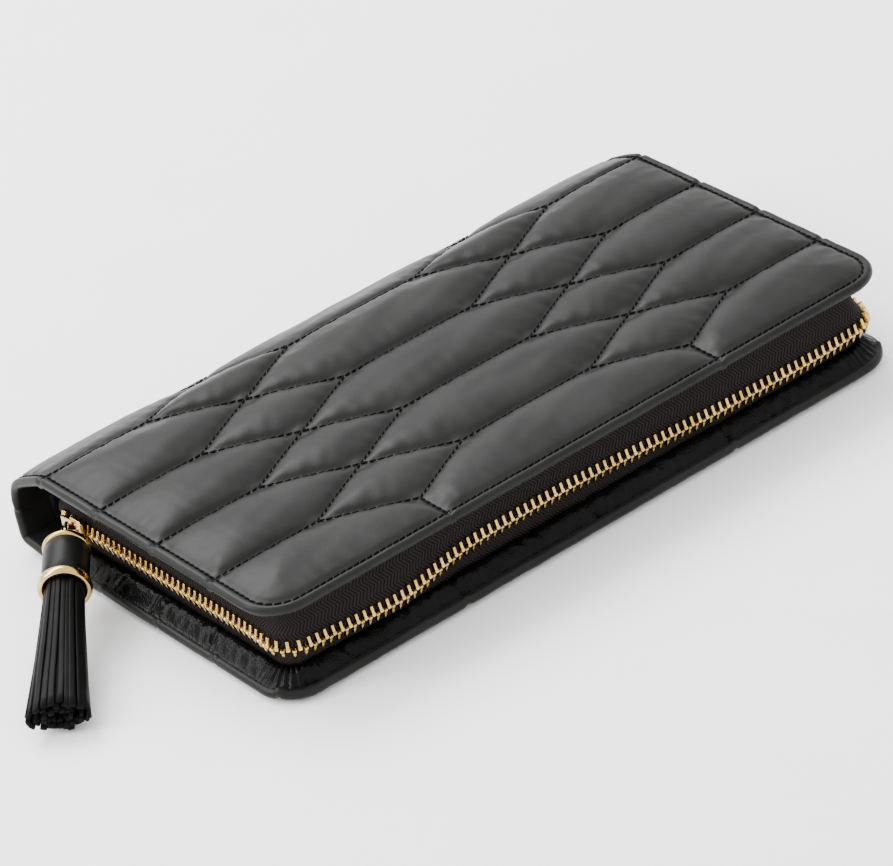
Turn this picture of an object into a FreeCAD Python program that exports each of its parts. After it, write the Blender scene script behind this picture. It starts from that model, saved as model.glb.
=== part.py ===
"""Zip-round quilted leather jewellery case with a tassel pull, in millimetres.

The case lies closed on its base. X runs along the long zip side, -Y faces the front,
+Y is the folded spine and +Z is up. The origin is the middle of the resting face.
"""

import FreeCAD
import Part
import math
import os
import Sketcher

Vector = FreeCAD.Vector

# Driving sizes, in millimetres and degrees
SIZES = {
    "case_length": 240.0,
    "case_depth": 138.4,
    "corner_radius": 13.5,
    "lip_thickness": 3.0,
    "pad_rise": 1.5,
    "zip_gap": 26.2,
    "stitch_inset": 3.0,
    "spine_top_radius": 24.0,
    "spine_foot_radius": 5.0,
    "fold_split_angle": 45.0,
    "fold_gap_angle": 2.0,
    "channel_width": 6.0,
    "channel_overcut": 0.45,
    "quilt_row_pitch": 28.8,
    "quilt_front_margin": 30.2,
    "diamond_centre": 52.3,
    "diamond_half_length": 27.4,
    "edge_band_thickness": 0.8,
    "edge_band_inset": 0.6,
    "edge_band_width": 8.7,
    "tape_foot_inset": 9.6,
    "chain_inset": 5.7,
    "tape_thickness": 0.8,
    "tape_past_fold": 1.8,
    "tooth_pitch": 2.75,
    "tooth_width": 1.1,
    "tooth_thickness": 2.5,
    "tooth_head": 1.5,
    "tooth_leg": 2.1,
    "tooth_overlap": 0.55,
    "chain_fold_gap": 1.2,
    "stop_length": 2.0,
    "stop_cap": 0.35,
    "board_thickness": 1.6,
    "board_inset": 12.0,
    "lining_thickness": 0.8,
    "board_fold_gap": 2.2,
    "tray_left": -8.0,
    "tray_wall": 2.0,
    "tray_height": 14.0,
    "tray_margin": 4.0,
    "roll_width": 12.0,
    "roll_height": 13.0,
    "roll_gap": 0.6,
    "roll_count": 7,
    "pocket_depth": 46.0,
    "pocket_height": 2.4,
    "pocket_sheet": 1.0,
    "binding_width": 5.0,
    "binding_thickness": 0.8,
    "strip_depth": 14.0,
    "strip_thickness": 1.4,
    "strip_length": 180.0,
    "tab_count": 5,
    "tab_width": 9.0,
    "tab_length": 22.0,
    "tab_thickness": 1.0,
    "snap_radius": 3.2,
    "snap_height": 1.2,
    "slider_length": 11.0,
    "slider_height": 9.0,
    "slider_plate": 1.2,
    "slider_end_gap": 5.5,
    "slider_clearance": 0.35,
    "bridge_gap": 2.0,
    "bridge_thickness": 1.3,
    "bridge_height": 3.0,
    "bridge_length": 6.0,
    "link_wire": 1.4,
    "link_length": 6.4,
    "link_inner_height": 6.8,
    "tassel_heading": 51.0,
    "tassel_decline": 9.5,
    "tassel_eye_rise": 1.0,
    "eye_radius": 1.7,
    "eye_wire": 1.2,
    "cap_start": 2.6,
    "cap_thickness": 1.6,
    "cap_radius": 6.3,
    "barrel_length": 14.5,
    "barrel_radius": 7.1,
    "core_radius": 4.5,
    "fit_clearance": 0.1,
    "band_length": 2.8,
    "band_radius": 7.9,
    "fringe_length": 57.0,
    "fringe_neck_radius": 6.2,
    "fringe_end_half_width": 9.8,
    "fringe_end_half_height": 5.5,
    "fringe_strip_count": 22,
    "strip_groove": 0.7,
    "cut_overrun": 4.0,
}

doc = FreeCAD.newDocument("jewellery_case")
sheet = doc.addObject("Spreadsheet::Sheet", "Sizes")
for row, (alias, number) in enumerate(SIZES.items(), start=1):
    sheet.set("A%d" % row, alias)
    sheet.set("B%d" % row, str(number))
    sheet.setAlias("B%d" % row, alias)
doc.recompute()


def size(alias):
    """One driving size, read from the sheet."""
    return float(sheet.get(alias))


# Levels and places that several pieces share, as expressions on the sheet
HALF_LENGTH = "Sizes.case_length / 2"
FRONT = "Sizes.case_depth / 2"
BASE_INNER = "(Sizes.pad_rise + Sizes.lip_thickness)"
LID_INNER = "(Sizes.pad_rise + Sizes.lip_thickness + Sizes.zip_gap)"
LID_LIP = "(Sizes.pad_rise + 2 * Sizes.lip_thickness + Sizes.zip_gap)"
TOP_ARC_Y = "(Sizes.case_depth / 2 - Sizes.spine_top_radius)"
FOOT_ARC_Y = "(Sizes.case_depth / 2 - Sizes.spine_foot_radius)"
FOOT_ARC_Z = "(Sizes.pad_rise + Sizes.spine_foot_radius)"
TAPE_END = "(%s + Sizes.tape_past_fold)" % TOP_ARC_Y
CHAIN_END = "(%s - Sizes.chain_fold_gap)" % TOP_ARC_Y
BOARD_BACK = "(%s - Sizes.board_fold_gap)" % TOP_ARC_Y
SLIDER_REST = "(%s - Sizes.slider_end_gap)" % CHAIN_END
OVERRUN = "Sizes.cut_overrun"
BASE_FLOOR = "(%s + Sizes.board_thickness + Sizes.lining_thickness)" % BASE_INNER
LID_CEILING = "(%s - Sizes.board_thickness - Sizes.lining_thickness)" % LID_INNER

# The same levels and places as numbers, for the pieces drawn point by point
half_length = size("case_length") / 2
half_depth = size("case_depth") / 2
base_lip = size("pad_rise")
base_inner = base_lip + size("lip_thickness")
lid_inner = base_inner + size("zip_gap")
lid_lip = lid_inner + size("lip_thickness")
chain_level = (base_inner + lid_inner) / 2
top_radius = size("spine_top_radius")
foot_radius = size("spine_foot_radius")
top_arc = Vector(0, half_depth - top_radius, lid_lip - top_radius)
foot_arc = Vector(0, half_depth - foot_radius, base_lip + foot_radius)
chain_end = top_arc.y - size("chain_fold_gap")
slider_rest = chain_end - size("slider_end_gap")

parts = {}


def keep(node, shape_object):
    """Name a finished sub-part."""
    shape_object.Label = node
    parts[node] = shape_object
    return shape_object


def new_body(name):
    return doc.addObject("PartDesign::Body", name)


def plane_of(body, role):
    for feature in body.Origin.OriginFeatures:
        if feature.Role == role:
            return feature
    raise RuntimeError("no plane " + role)


def sketch_on(body, name, role, level):
    """A sketch on one of the body's own planes, lifted to a level."""
    sketch = body.newObject("Sketcher::SketchObject", name)
    sketch.AttachmentSupport = [(plane_of(body, role), "")]
    sketch.MapMode = "FlatFace"
    sketch.setExpression(".AttachmentOffset.Base.z", level)
    return sketch


def bind(sketch, constraint, expression):
    index = sketch.addConstraint(constraint)
    sketch.setExpression("Constraints[%d]" % index, expression)


def outline(body, name, inset, back, level):
    """The case's plan: square at the back, two round corners at the front, drawn in by an inset."""
    # Rough places that the constraints below move to the real ones
    a, r, f, b = 100.0, 8.0, 50.0, 40.0
    sketch = sketch_on(body, name, "XY_Plane", level)
    up = Vector(0, 0, 1)
    corners = [
        Part.LineSegment(Vector(-a, b, 0), Vector(-a, r - f, 0)),
        Part.ArcOfCircle(Part.Circle(Vector(r - a, r - f, 0), up, r), math.pi, 1.5 * math.pi),
        Part.LineSegment(Vector(r - a, -f, 0), Vector(a - r, -f, 0)),
        Part.ArcOfCircle(Part.Circle(Vector(a - r, r - f, 0), up, r), 1.5 * math.pi, 2 * math.pi),
        Part.LineSegment(Vector(a, r - f, 0), Vector(a, b, 0)),
        Part.LineSegment(Vector(a, b, 0), Vector(-a, b, 0)),
    ]
    sketch.addGeometry(corners, False)
    for edge in range(4):
        sketch.addConstraint(Sketcher.Constraint("Tangent", edge, 2, edge + 1, 1))
    sketch.addConstraint(Sketcher.Constraint("Coincident", 4, 2, 5, 1))
    sketch.addConstraint(Sketcher.Constraint("Coincident", 5, 2, 0, 1))
    sketch.addConstraint(Sketcher.Constraint("Vertical", 0))
    sketch.addConstraint(Sketcher.Constraint("Horizontal", 2))
    sketch.addConstraint(Sketcher.Constraint("Vertical", 4))
    sketch.addConstraint(Sketcher.Constraint("Equal", 1, 3))
    sketch.addConstraint(Sketcher.Constraint("Symmetric", 0, 1, 4, 2, -2))
    bind(sketch, Sketcher.Constraint("Radius", 1, r), "Sizes.corner_radius - %s" % inset)
    length = "Sizes.case_length - 2 * %s" % inset
    bind(sketch, Sketcher.Constraint("DistanceX", 0, 1, 4, 2, 2 * a), length)
    bind(sketch, Sketcher.Constraint("DistanceY", 2, 1, -1, 1, f), "%s - %s" % (FRONT, inset))
    bind(sketch, Sketcher.Constraint("DistanceY", -1, 1, 5, 1, b), back)
    return sketch


def pad(body, name, sketch, length):
    feature = body.newObject("PartDesign::Pad", name)
    feature.Profile = sketch
    feature.setExpression("Length", length)
    return feature


def plate(node, inset, back, level, thickness):
    """A flat sheet with the case's plan."""
    body = new_body(node + "_body")
    pad(body, node + "_pad", outline(body, node + "_plan", inset, back, level), thickness)
    return body


def box(name, length, width, height, x, y, z):
    """A block set by its size and its lowest corner."""
    block = doc.addObject("Part::Box", name)
    for key, expression in (("Length", length), ("Width", width), ("Height", height)):
        block.setExpression(key, expression)
    for key, expression in (("x", x), ("y", y), ("z", z)):
        block.setExpression("Placement.Base." + key, expression)
    return block


def cut(name, base, tool):
    result = doc.addObject("Part::Cut", name)
    result.Base = base
    result.Tool = tool
    return result


def join(name, pieces):
    result = doc.addObject("Part::MultiFuse", name)
    result.Shapes = pieces
    return result


def group(name, pieces):
    result = doc.addObject("Part::Compound", name)
    result.Links = pieces
    return result


# The quilted skin: lid, spine and base, folded round the back

ACROSS = FreeCAD.Rotation(Vector(1, 1, 1), 120)


def fold_sector(name, radius, thickness, first, sweep, length, centre_y, centre_z):
    """Part of a fold of the skin: a ring sector about a line along X; angles from +Y towards +Z."""
    pieces = []
    for kind, reach in (("outer", radius), ("inner", "%s - %s" % (radius, thickness))):
        rod = doc.addObject("Part::Cylinder", name + "_" + kind)
        rod.setExpression("Radius", reach)
        rod.setExpression("Height", length)
        rod.setExpression("Angle", sweep)
        rod.Placement = FreeCAD.Placement(
            Vector(0, 0, 0), ACROSS.multiply(FreeCAD.Rotation(Vector(0, 0, 1), first))
        )
        rod.setExpression("Placement.Base.x", "-(%s) / 2" % length)
        rod.setExpression("Placement.Base.y", centre_y)
        rod.setExpression("Placement.Base.z", centre_z)
        pieces.append(rod)
    return cut(name, pieces[0], pieces[1])


LIP = "Sizes.lip_thickness"
PAD = "Sizes.pad_rise"
FULL = "Sizes.case_length"
PADDED = "Sizes.case_length - 2 * Sizes.stitch_inset"
TOP_ARC_Z = "(%s - Sizes.spine_top_radius)" % LID_LIP
TOP_R = "Sizes.spine_top_radius"
FOOT_R = "Sizes.spine_foot_radius"
COVER_FOLD = "90 - Sizes.fold_split_angle"
SPINE_FOLD = "Sizes.fold_split_angle - Sizes.fold_gap_angle"
INSET = "Sizes.stitch_inset"
split = size("fold_split_angle")


def skin_folds(name, radius, first, sweep, centre_y, centre_z):
    """The lip-level layer of one fold and the padding over it."""
    layer = fold_sector(name + "_layer", radius, LIP, first, sweep, FULL, centre_y, centre_z)
    padded = "%s + %s" % (radius, PAD)
    padding = fold_sector(name + "_padding", padded, PAD, first, sweep, PADDED, centre_y, centre_z)
    return [layer, padding]


lid_layers = [
    plate("lid_layer", "0", TOP_ARC_Y, LID_INNER, LIP),
    plate("lid_padding", INSET, TOP_ARC_Y, LID_LIP, PAD),
]
lid_fold = skin_folds("lid_fold", TOP_R, split, COVER_FOLD, TOP_ARC_Y, TOP_ARC_Z)
lid_skin = join("lid_skin", lid_layers + lid_fold)
base_layers = [
    plate("base_layer", "0", FOOT_ARC_Y, PAD, LIP),
    plate("base_padding", INSET, FOOT_ARC_Y, "0", PAD),
]
base_fold = skin_folds("base_fold", FOOT_R, -90, COVER_FOLD, FOOT_ARC_Y, FOOT_ARC_Z)
base_skin = join("base_skin", base_layers + base_fold)
WALL_HEIGHT = "%s - %s" % (TOP_ARC_Z, FOOT_ARC_Z)
spine_walls = [
    box("spine_wall", FULL, LIP, WALL_HEIGHT, "-" + HALF_LENGTH, "%s - %s" % (FRONT, LIP), FOOT_ARC_Z),
    box("wall_padding", PADDED, PAD, WALL_HEIGHT, "-(%s) / 2" % PADDED, FRONT, FOOT_ARC_Z),
]
upper_fold = skin_folds("spine_upper", TOP_R, 0, SPINE_FOLD, TOP_ARC_Y, TOP_ARC_Z)
lower_start = size("fold_gap_angle") - split
lower_fold = skin_folds("spine_lower", FOOT_R, lower_start, SPINE_FOLD, FOOT_ARC_Y, FOOT_ARC_Z)
spine_skin = join("spine_skin", spine_walls + upper_fold + lower_fold)
doc.recompute()

top_turn = top_radius * math.pi / 2
wall_run = top_arc.z - foot_arc.z
foot_turn = foot_radius * math.pi / 2


def wrap(x, run):
    """A point of the skin at lip level and its outward direction; run is measured from the top fold."""
    if run <= 0:
        return Vector(x, top_arc.y + run, lid_lip), Vector(0, 0, 1)
    if run <= top_turn:
        angle = math.pi / 2 - run / top_radius
        out = Vector(0, math.cos(angle), math.sin(angle))
        return Vector(x, top_arc.y, top_arc.z) + out * top_radius, out
    run -= top_turn
    if run <= wall_run:
        return Vector(x, half_depth, top_arc.z - run), Vector(0, 1, 0)
    run -= wall_run
    if run <= foot_turn:
        angle = -run / foot_radius
        out = Vector(0, math.cos(angle), math.sin(angle))
        return Vector(x, foot_arc.y, foot_arc.z) + out * foot_radius, out
    return Vector(x, foot_arc.y - run + foot_turn, base_lip), Vector(0, 0, -1)


def channel(first, last):
    """A V-shaped channel between two points of the skin, each with its outward direction."""
    along = (last[0] - first[0]).normalize()
    rise = size("pad_rise") + size("channel_overcut")
    spread = size("channel_width") / 2 * rise / size("pad_rise")
    sections = []
    for point, out in (first, last):
        side = along.cross(out).normalize()
        corners = [point, point + out * rise + side * spread, point + out * rise - side * spread, point]
        sections.append(Part.makePolygon(corners))
    return Part.makeLoft(sections, True, True)


fold_end = top_turn + wall_run + foot_turn


def on_fold(run):
    return 0 < run < fold_end


front_run = -(half_depth + top_arc.y)
last_run = fold_end + half_depth + foot_arc.y
stitch_x = half_length - size("stitch_inset")
first_stitch = front_run + size("stitch_inset")
last_stitch = last_run - size("stitch_inset")
first_row = front_run + size("quilt_front_margin")
row_pitch = size("quilt_row_pitch")
row_count = int((last_stitch - first_row) / row_pitch) + 1
inner_x = size("diamond_centre") - size("diamond_half_length")
outer_x = size("diamond_centre") + size("diamond_half_length")

quilt_lines = []
for row in range(row_count):
    run = first_row + row * row_pitch
    quilt_lines.append(((-inner_x, run), (inner_x, run)))
    for hand in (-1, 1):
        quilt_lines.append(((hand * outer_x, run), (hand * stitch_x, run)))
        for tip in (inner_x, outer_x):
            for half in (-0.5, 0.5):
                middle = (hand * size("diamond_centre"), run + half * row_pitch)
                inside = first_stitch < middle[1] < last_stitch
                if inside and not on_fold(run) and not on_fold(middle[1]):
                    quilt_lines.append(((hand * tip, run), middle))

channels = [channel(wrap(*start), wrap(*end)) for start, end in quilt_lines]

# The edge stitch along both ends and the front of each cover
end_runs = [front_run + size("corner_radius"), 0]
end_runs += [top_turn * step / 8 for step in range(1, 9)]
end_runs += [top_turn + wall_run + foot_turn * step / 6 for step in range(7)]
end_runs.append(last_run - size("corner_radius"))
for x in (-stitch_x, stitch_x):
    points = [wrap(x, run) for run in end_runs]
    for start, end in zip(points, points[1:]):
        channels.append(channel(start, end))
turn_radius = size("corner_radius") - size("stitch_inset")
for level, out in ((lid_lip, Vector(0, 0, 1)), (base_lip, Vector(0, 0, -1))):
    front_points = []
    for hand in (-1, 1):
        corner = size("corner_radius")
        centre = Vector(hand * (half_length - corner), corner - half_depth, level)
        for step in range(7):
            angle = math.radians(15 * step)
            turn = angle if hand < 0 else math.pi / 2 - angle
            reach = Vector(hand * math.cos(turn), -math.sin(turn), 0) * turn_radius
            front_points.append((centre + reach, out))
    for start, end in zip(front_points, front_points[1:]):
        channels.append(channel(start, end))


def quilted(node, skin):
    """Cut the stitched channels into the padding of one part of the skin."""
    near = [tool for tool in channels if tool.BoundBox.intersect(skin.Shape.BoundBox)]
    feature = doc.addObject("Part::Feature", node + "_shape")
    feature.Shape = skin.Shape.cut(near).removeSplitter()
    return keep(node, feature)


quilted("base_quilt", base_skin)
quilted("spine_quilt", spine_skin)
quilted("lid_quilt", lid_skin)

# Turned-in leather along the edges, stiff boards and linings


def turned_edge(node, level):
    body = plate(node, "Sizes.edge_band_inset", TAPE_END, level, "Sizes.edge_band_thickness")
    inner_inset = "(Sizes.edge_band_inset + Sizes.edge_band_width)"
    inner = outline(body, node + "_inner", inner_inset, "%s + %s" % (TAPE_END, OVERRUN), level)
    hollow = body.newObject("PartDesign::Pocket", node + "_hollow")
    hollow.Profile = inner
    hollow.Type = "ThroughAll"
    hollow.Midplane = True
    return keep(node, body)


turned_edge("base_turned_edge", BASE_INNER)
turned_edge("lid_turned_edge", "%s - Sizes.edge_band_thickness" % LID_INNER)
BOARD = "Sizes.board_inset"
BACK = BOARD_BACK
BOARD_T = "Sizes.board_thickness"
LINING_T = "Sizes.lining_thickness"
keep("base_board", plate("base_board", BOARD, BACK, BASE_INNER, BOARD_T))
keep("base_lining", plate("base_lining", BOARD, BACK, "%s + %s" % (BASE_INNER, BOARD_T), LINING_T))
keep("lid_board", plate("lid_board", BOARD, BACK, "%s - %s" % (LID_INNER, BOARD_T), BOARD_T))
keep("lid_lining", plate("lid_lining", BOARD, BACK, LID_CEILING, LINING_T))
lining_length = "Sizes.case_length - 2 * Sizes.board_inset"
lining_fold = fold_sector(
    "spine_lining", "Sizes.spine_top_radius - Sizes.lip_thickness", LINING_T, 0, SPINE_FOLD,
    lining_length, TOP_ARC_Y, TOP_ARC_Z,
)
keep("spine_lining", lining_fold)

# Zip: two tapes that lean out to the chain, and a row of teeth on each
TAPE_EDGE = "(Sizes.tooth_head - Sizes.tooth_overlap)"
TAPE_LEAN = "((Sizes.tape_foot_inset - Sizes.chain_inset) / (Sizes.zip_gap / 2))"


def zip_tape(node, foot_level, edge_level):
    body = new_body(node + "_body")
    foot = "Sizes.tape_foot_inset"
    edge = "(Sizes.chain_inset + %s * %s - Sizes.tape_thickness / 2)" % (TAPE_LEAN, TAPE_EDGE)
    wall = " + Sizes.tape_thickness)"
    past = "%s + %s" % (TAPE_END, OVERRUN)
    shell = body.newObject("PartDesign::AdditiveLoft", node + "_outside")
    shell.Profile = outline(body, node + "_foot", foot, TAPE_END, foot_level)
    shell.Sections = [outline(body, node + "_edge", edge, TAPE_END, edge_level)]
    shell.Ruled = True
    hollow = body.newObject("PartDesign::SubtractiveLoft", node + "_inside")
    hollow.Profile = outline(body, node + "_foot_inside", "(" + foot + wall, past, foot_level)
    hollow.Sections = [outline(body, node + "_edge_inside", "(" + edge + wall, past, edge_level)]
    hollow.Ruled = True
    return keep(node, body)


CHAIN_LEVEL = "(%s + Sizes.zip_gap / 2)" % BASE_INNER
zip_tape("lower_zip_tape", BASE_INNER, "%s - %s" % (CHAIN_LEVEL, TAPE_EDGE))
zip_tape("upper_zip_tape", LID_INNER, "%s + %s" % (CHAIN_LEVEL, TAPE_EDGE))

tape_rise = chain_level - base_inner
tape_lean = size("tape_foot_inset") - size("chain_inset")
chain_x = half_length - size("chain_inset")
chain_front = half_depth - size("chain_inset")
chain_turn = size("corner_radius") - size("chain_inset")
side_run = chain_end + chain_front - chain_turn
corner_run = chain_turn * math.pi / 2
front_straight = 2 * (chain_x - chain_turn)
chain_length = 2 * side_run + 2 * corner_run + front_straight


def chain_place(run):
    """A point of the chain's middle line, from the left end round the front, and its outward way."""
    if run <= side_run:
        return Vector(-chain_x, chain_end - run, chain_level), Vector(-1, 0, 0)
    run -= side_run
    if run <= corner_run:
        out = Vector(-math.cos(run / chain_turn), -math.sin(run / chain_turn), 0)
        centre = Vector(chain_turn - chain_x, chain_turn - chain_front, chain_level)
        return centre + out * chain_turn, out
    run -= corner_run
    if run <= front_straight:
        return Vector(chain_turn - chain_x + run, -chain_front, chain_level), Vector(0, -1, 0)
    run -= front_straight
    if run <= corner_run:
        out = Vector(math.sin(run / chain_turn), -math.cos(run / chain_turn), 0)
        centre = Vector(chain_x - chain_turn, chain_turn - chain_front, chain_level)
        return centre + out * chain_turn, out
    run -= corner_run
    return Vector(chain_x, chain_turn - chain_front + run, chain_level), Vector(1, 0, 0)


def tooth(run, rise):
    """One tooth, a head with two legs that straddle the tape; rise is 1 on the lower row, else -1."""
    point, out = chain_place(run)
    along = out.cross(Vector(0, 0, 1))
    towards = (out * tape_lean + Vector(0, 0, rise) * tape_rise).normalize()
    across = along.cross(towards).normalize()
    half = size("tooth_thickness") / 2
    slot = size("tape_thickness") / 2 + size("fit_clearance")
    top = size("tooth_overlap")
    neck = top - size("tooth_head") + size("fit_clearance")
    foot = neck - size("tooth_leg")
    profile = [(-half, top), (half, top), (half, foot), (slot, foot)]
    profile += [(slot, neck), (-slot, neck), (-slot, foot), (-half, foot), (-half, top)]
    start = point - along * (size("tooth_width") / 2)
    wire = Part.makePolygon([start + across * c + towards * u for c, u in profile])
    return Part.Face(wire).extrude(along * size("tooth_width"))


def teeth(node, first, rise):
    count = int((chain_length - size("tooth_width") - first) / size("tooth_pitch")) + 1
    row = doc.addObject("Part::Feature", node + "_row")
    runs = [first + index * size("tooth_pitch") for index in range(count)]
    row.Shape = Part.makeCompound([tooth(run, rise) for run in runs])
    return keep(node, row)


teeth("lower_zip_teeth", size("tooth_width"), 1)
teeth("upper_zip_teeth", size("tooth_width") + size("tooth_pitch") / 2, -1)


def zip_stops(node, rise):
    """The metal stops that close the ends of one row, each wrapped over the tape's edge."""
    row = doc.addObject("Part::Feature", node + "_row")
    stops = []
    for hand in (-1, 1):
        out = Vector(hand, 0, 0)
        towards = (out * tape_lean + Vector(0, 0, rise) * tape_rise).normalize()
        across = Vector(0, 1, 0).cross(towards).normalize()
        start = Vector(hand * chain_x, chain_end + size("tooth_width") / 2, chain_level)
        half = size("tooth_thickness") / 2
        slot = size("tape_thickness") / 2 + size("fit_clearance")
        neck = size("tooth_overlap") - size("tooth_head") + size("fit_clearance")
        top = neck + size("stop_cap")
        foot = neck - size("tooth_leg")
        profile = [(-half, top), (half, top), (half, foot), (slot, foot)]
        profile += [(slot, neck), (-slot, neck), (-slot, foot), (-half, foot), (-half, top)]
        wire = Part.makePolygon([start + across * c + towards * u for c, u in profile])
        stops.append(Part.Face(wire).extrude(Vector(0, size("stop_length"), 0)))
    row.Shape = Part.makeCompound(stops)
    return keep(node, row)


zip_stops("lower_zip_stops", 1)
zip_stops("upper_zip_stops", -1)

# Inside of the base: a divided tray on the right and ring rolls on the left
INNER_X = "(Sizes.case_length / 2 - Sizes.board_inset - Sizes.tray_margin)"
INNER_FRONT = "(Sizes.case_depth / 2 - Sizes.board_inset - Sizes.tray_margin)"
INNER_BACK = "(%s - Sizes.tray_margin)" % BOARD_BACK
TRAY_LENGTH = "(%s - Sizes.tray_left)" % INNER_X
TRAY_DEPTH = "(%s + %s)" % (INNER_FRONT, INNER_BACK)
WALL = "Sizes.tray_wall"
TRAY_H = "Sizes.tray_height"
tray_block = box(
    "tray_block", TRAY_LENGTH, TRAY_DEPTH, TRAY_H, "Sizes.tray_left", "-" + INNER_FRONT, BASE_FLOOR,
)
tray_hollow = box(
    "tray_hollow", "%s - 2 * %s" % (TRAY_LENGTH, WALL), "%s - 2 * %s" % (TRAY_DEPTH, WALL),
    "%s + 2 * %s" % (TRAY_H, OVERRUN), "Sizes.tray_left + " + WALL, "%s - %s" % (WALL, INNER_FRONT),
    "%s - %s" % (BASE_FLOOR, OVERRUN),
)
keep("tray_wall", cut("tray_wall", tray_block, tray_hollow))
MIDDLE_Y = "((%s - %s) / 2)" % (INNER_BACK, INNER_FRONT)
MIDDLE_X = "((%s + Sizes.tray_left) / 2)" % INNER_X
divider_long = box(
    "tray_divider_long", "%s - 2 * %s" % (TRAY_LENGTH, WALL), WALL, TRAY_H,
    "Sizes.tray_left + " + WALL, "%s - %s / 2" % (MIDDLE_Y, WALL), BASE_FLOOR,
)
keep("tray_divider_long", divider_long)
divider_cross = box(
    "tray_divider_cross", WALL, "%s / 2 - 1.5 * %s" % (TRAY_DEPTH, WALL), TRAY_H,
    "%s - %s / 2" % (MIDDLE_X, WALL), "%s + %s / 2" % (MIDDLE_Y, WALL), BASE_FLOOR,
)
keep("tray_divider_cross", divider_cross)

ROLL_PITCH = "(Sizes.roll_width + Sizes.roll_gap)"
roll_length = "Sizes.tray_left + %s - Sizes.tray_margin" % INNER_X


def ring_roll(index):
    """One padded roll: a block with a round top, from the left margin to the tray."""
    radius = "Sizes.roll_width / 2"
    y = "-%s + %d * %s" % (INNER_FRONT, index, ROLL_PITCH)
    name = "ring_roll_%d" % (index + 1)
    block = box(
        name + "_block", roll_length, "Sizes.roll_width", "Sizes.roll_height - " + radius,
        "-" + INNER_X, y, BASE_FLOOR,
    )
    crown = doc.addObject("Part::Cylinder", name + "_crown")
    crown.setExpression("Radius", radius)
    crown.setExpression("Height", roll_length)
    crown.Angle = 180
    crown.Placement = FreeCAD.Placement(Vector(0, 0, 0), ACROSS)
    crown.setExpression("Placement.Base.x", "-" + INNER_X)
    crown.setExpression("Placement.Base.y", y + " + " + radius)
    crown.setExpression("Placement.Base.z", "%s + Sizes.roll_height - %s" % (BASE_FLOOR, radius))
    return join(name, [block, crown])


keep("ring_rolls", group("ring_rolls", [ring_roll(i) for i in range(int(size("roll_count")))]))

# Inside of the lid: a slip pocket at the front and a strip of necklace tabs near the spine
POCKET_LENGTH = "(2 * %s)" % INNER_X
POCKET_LOW = "%s - Sizes.pocket_height" % LID_CEILING
pocket_block = box(
    "pocket_block", POCKET_LENGTH, "Sizes.pocket_depth", "Sizes.pocket_height",
    "-" + INNER_X, "-" + INNER_FRONT, POCKET_LOW,
)
pocket_space = box(
    "pocket_space", "%s - 2 * %s" % (POCKET_LENGTH, WALL), "Sizes.pocket_depth",
    "Sizes.pocket_height - Sizes.pocket_sheet", "%s - %s" % (WALL, INNER_X),
    "%s - %s" % (WALL, INNER_FRONT), "%s + Sizes.pocket_sheet" % POCKET_LOW,
)
keep("slip_pocket", cut("slip_pocket", pocket_block, pocket_space))
binding = box(
    "pocket_binding", POCKET_LENGTH, "Sizes.binding_width", "Sizes.binding_thickness", "-" + INNER_X,
    "Sizes.pocket_depth - %s - Sizes.binding_width" % INNER_FRONT,
    "%s - Sizes.binding_thickness" % POCKET_LOW,
)
keep("pocket_binding", binding)
STRIP_LOW = "(%s - Sizes.strip_thickness)" % LID_CEILING
strip = box(
    "necklace_strip", "Sizes.strip_length", "Sizes.strip_depth", "Sizes.strip_thickness",
    "-Sizes.strip_length / 2", "%s - Sizes.strip_depth" % INNER_BACK, STRIP_LOW,
)
keep("necklace_strip", strip)
TAB_PITCH = "(Sizes.strip_length / Sizes.tab_count)"
TAB_LOW = "(%s - Sizes.tab_thickness)" % STRIP_LOW


def tab_place(index):
    return "(%d + 0.5) * %s - Sizes.strip_length / 2" % (index, TAB_PITCH)


tabs = []
snaps = []
for index in range(int(size("tab_count"))):
    tabs.append(
        box(
            "necklace_tab_%d" % (index + 1), "Sizes.tab_width", "Sizes.tab_length", "Sizes.tab_thickness",
            "%s - Sizes.tab_width / 2" % tab_place(index), "%s - Sizes.tab_length" % INNER_BACK, TAB_LOW,
        )
    )
    snap = doc.addObject("Part::Cylinder", "necklace_snap_%d" % (index + 1))
    snap.setExpression("Radius", "Sizes.snap_radius")
    snap.setExpression("Height", "Sizes.snap_height")
    snap.setExpression("Placement.Base.x", tab_place(index))
    snap.setExpression("Placement.Base.y", "%s - Sizes.strip_depth / 2" % INNER_BACK)
    snap.setExpression("Placement.Base.z", "%s - Sizes.snap_height" % TAB_LOW)
    snaps.append(snap)
keep("necklace_tabs", group("necklace_tabs", tabs))
keep("necklace_snaps", group("necklace_snaps", snaps))

# Slider: two plates either side of the chain, and a bridge on the outer plate
CHAIN_X = "(Sizes.case_length / 2 - Sizes.chain_inset)"
OUTER_FACE = "(%s + Sizes.tooth_thickness / 2 + Sizes.slider_clearance)" % CHAIN_X
LEG_LEAN = "%s * (Sizes.tooth_leg + %s)" % (TAPE_LEAN, TAPE_EDGE)
INNER_FACE = "(%s - Sizes.tooth_thickness / 2 - Sizes.slider_clearance - %s)" % (CHAIN_X, LEG_LEAN)
SLIDER_BACK = "%s - Sizes.slider_length / 2" % SLIDER_REST
SLIDER_LOW = "%s - Sizes.slider_height / 2" % CHAIN_LEVEL
outer_plate = box(
    "slider_outer_plate", "Sizes.slider_plate", "Sizes.slider_length", "Sizes.slider_height",
    "-%s - Sizes.slider_plate" % OUTER_FACE, SLIDER_BACK, SLIDER_LOW,
)
inner_plate = box(
    "slider_inner_plate", "Sizes.slider_plate", "Sizes.slider_length", "Sizes.slider_height",
    "-" + INNER_FACE, SLIDER_BACK, SLIDER_LOW,
)
keep("slider_body", group("slider_body", [outer_plate, inner_plate]))
PLATE_FACE = "(%s + Sizes.slider_plate)" % OUTER_FACE
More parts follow.
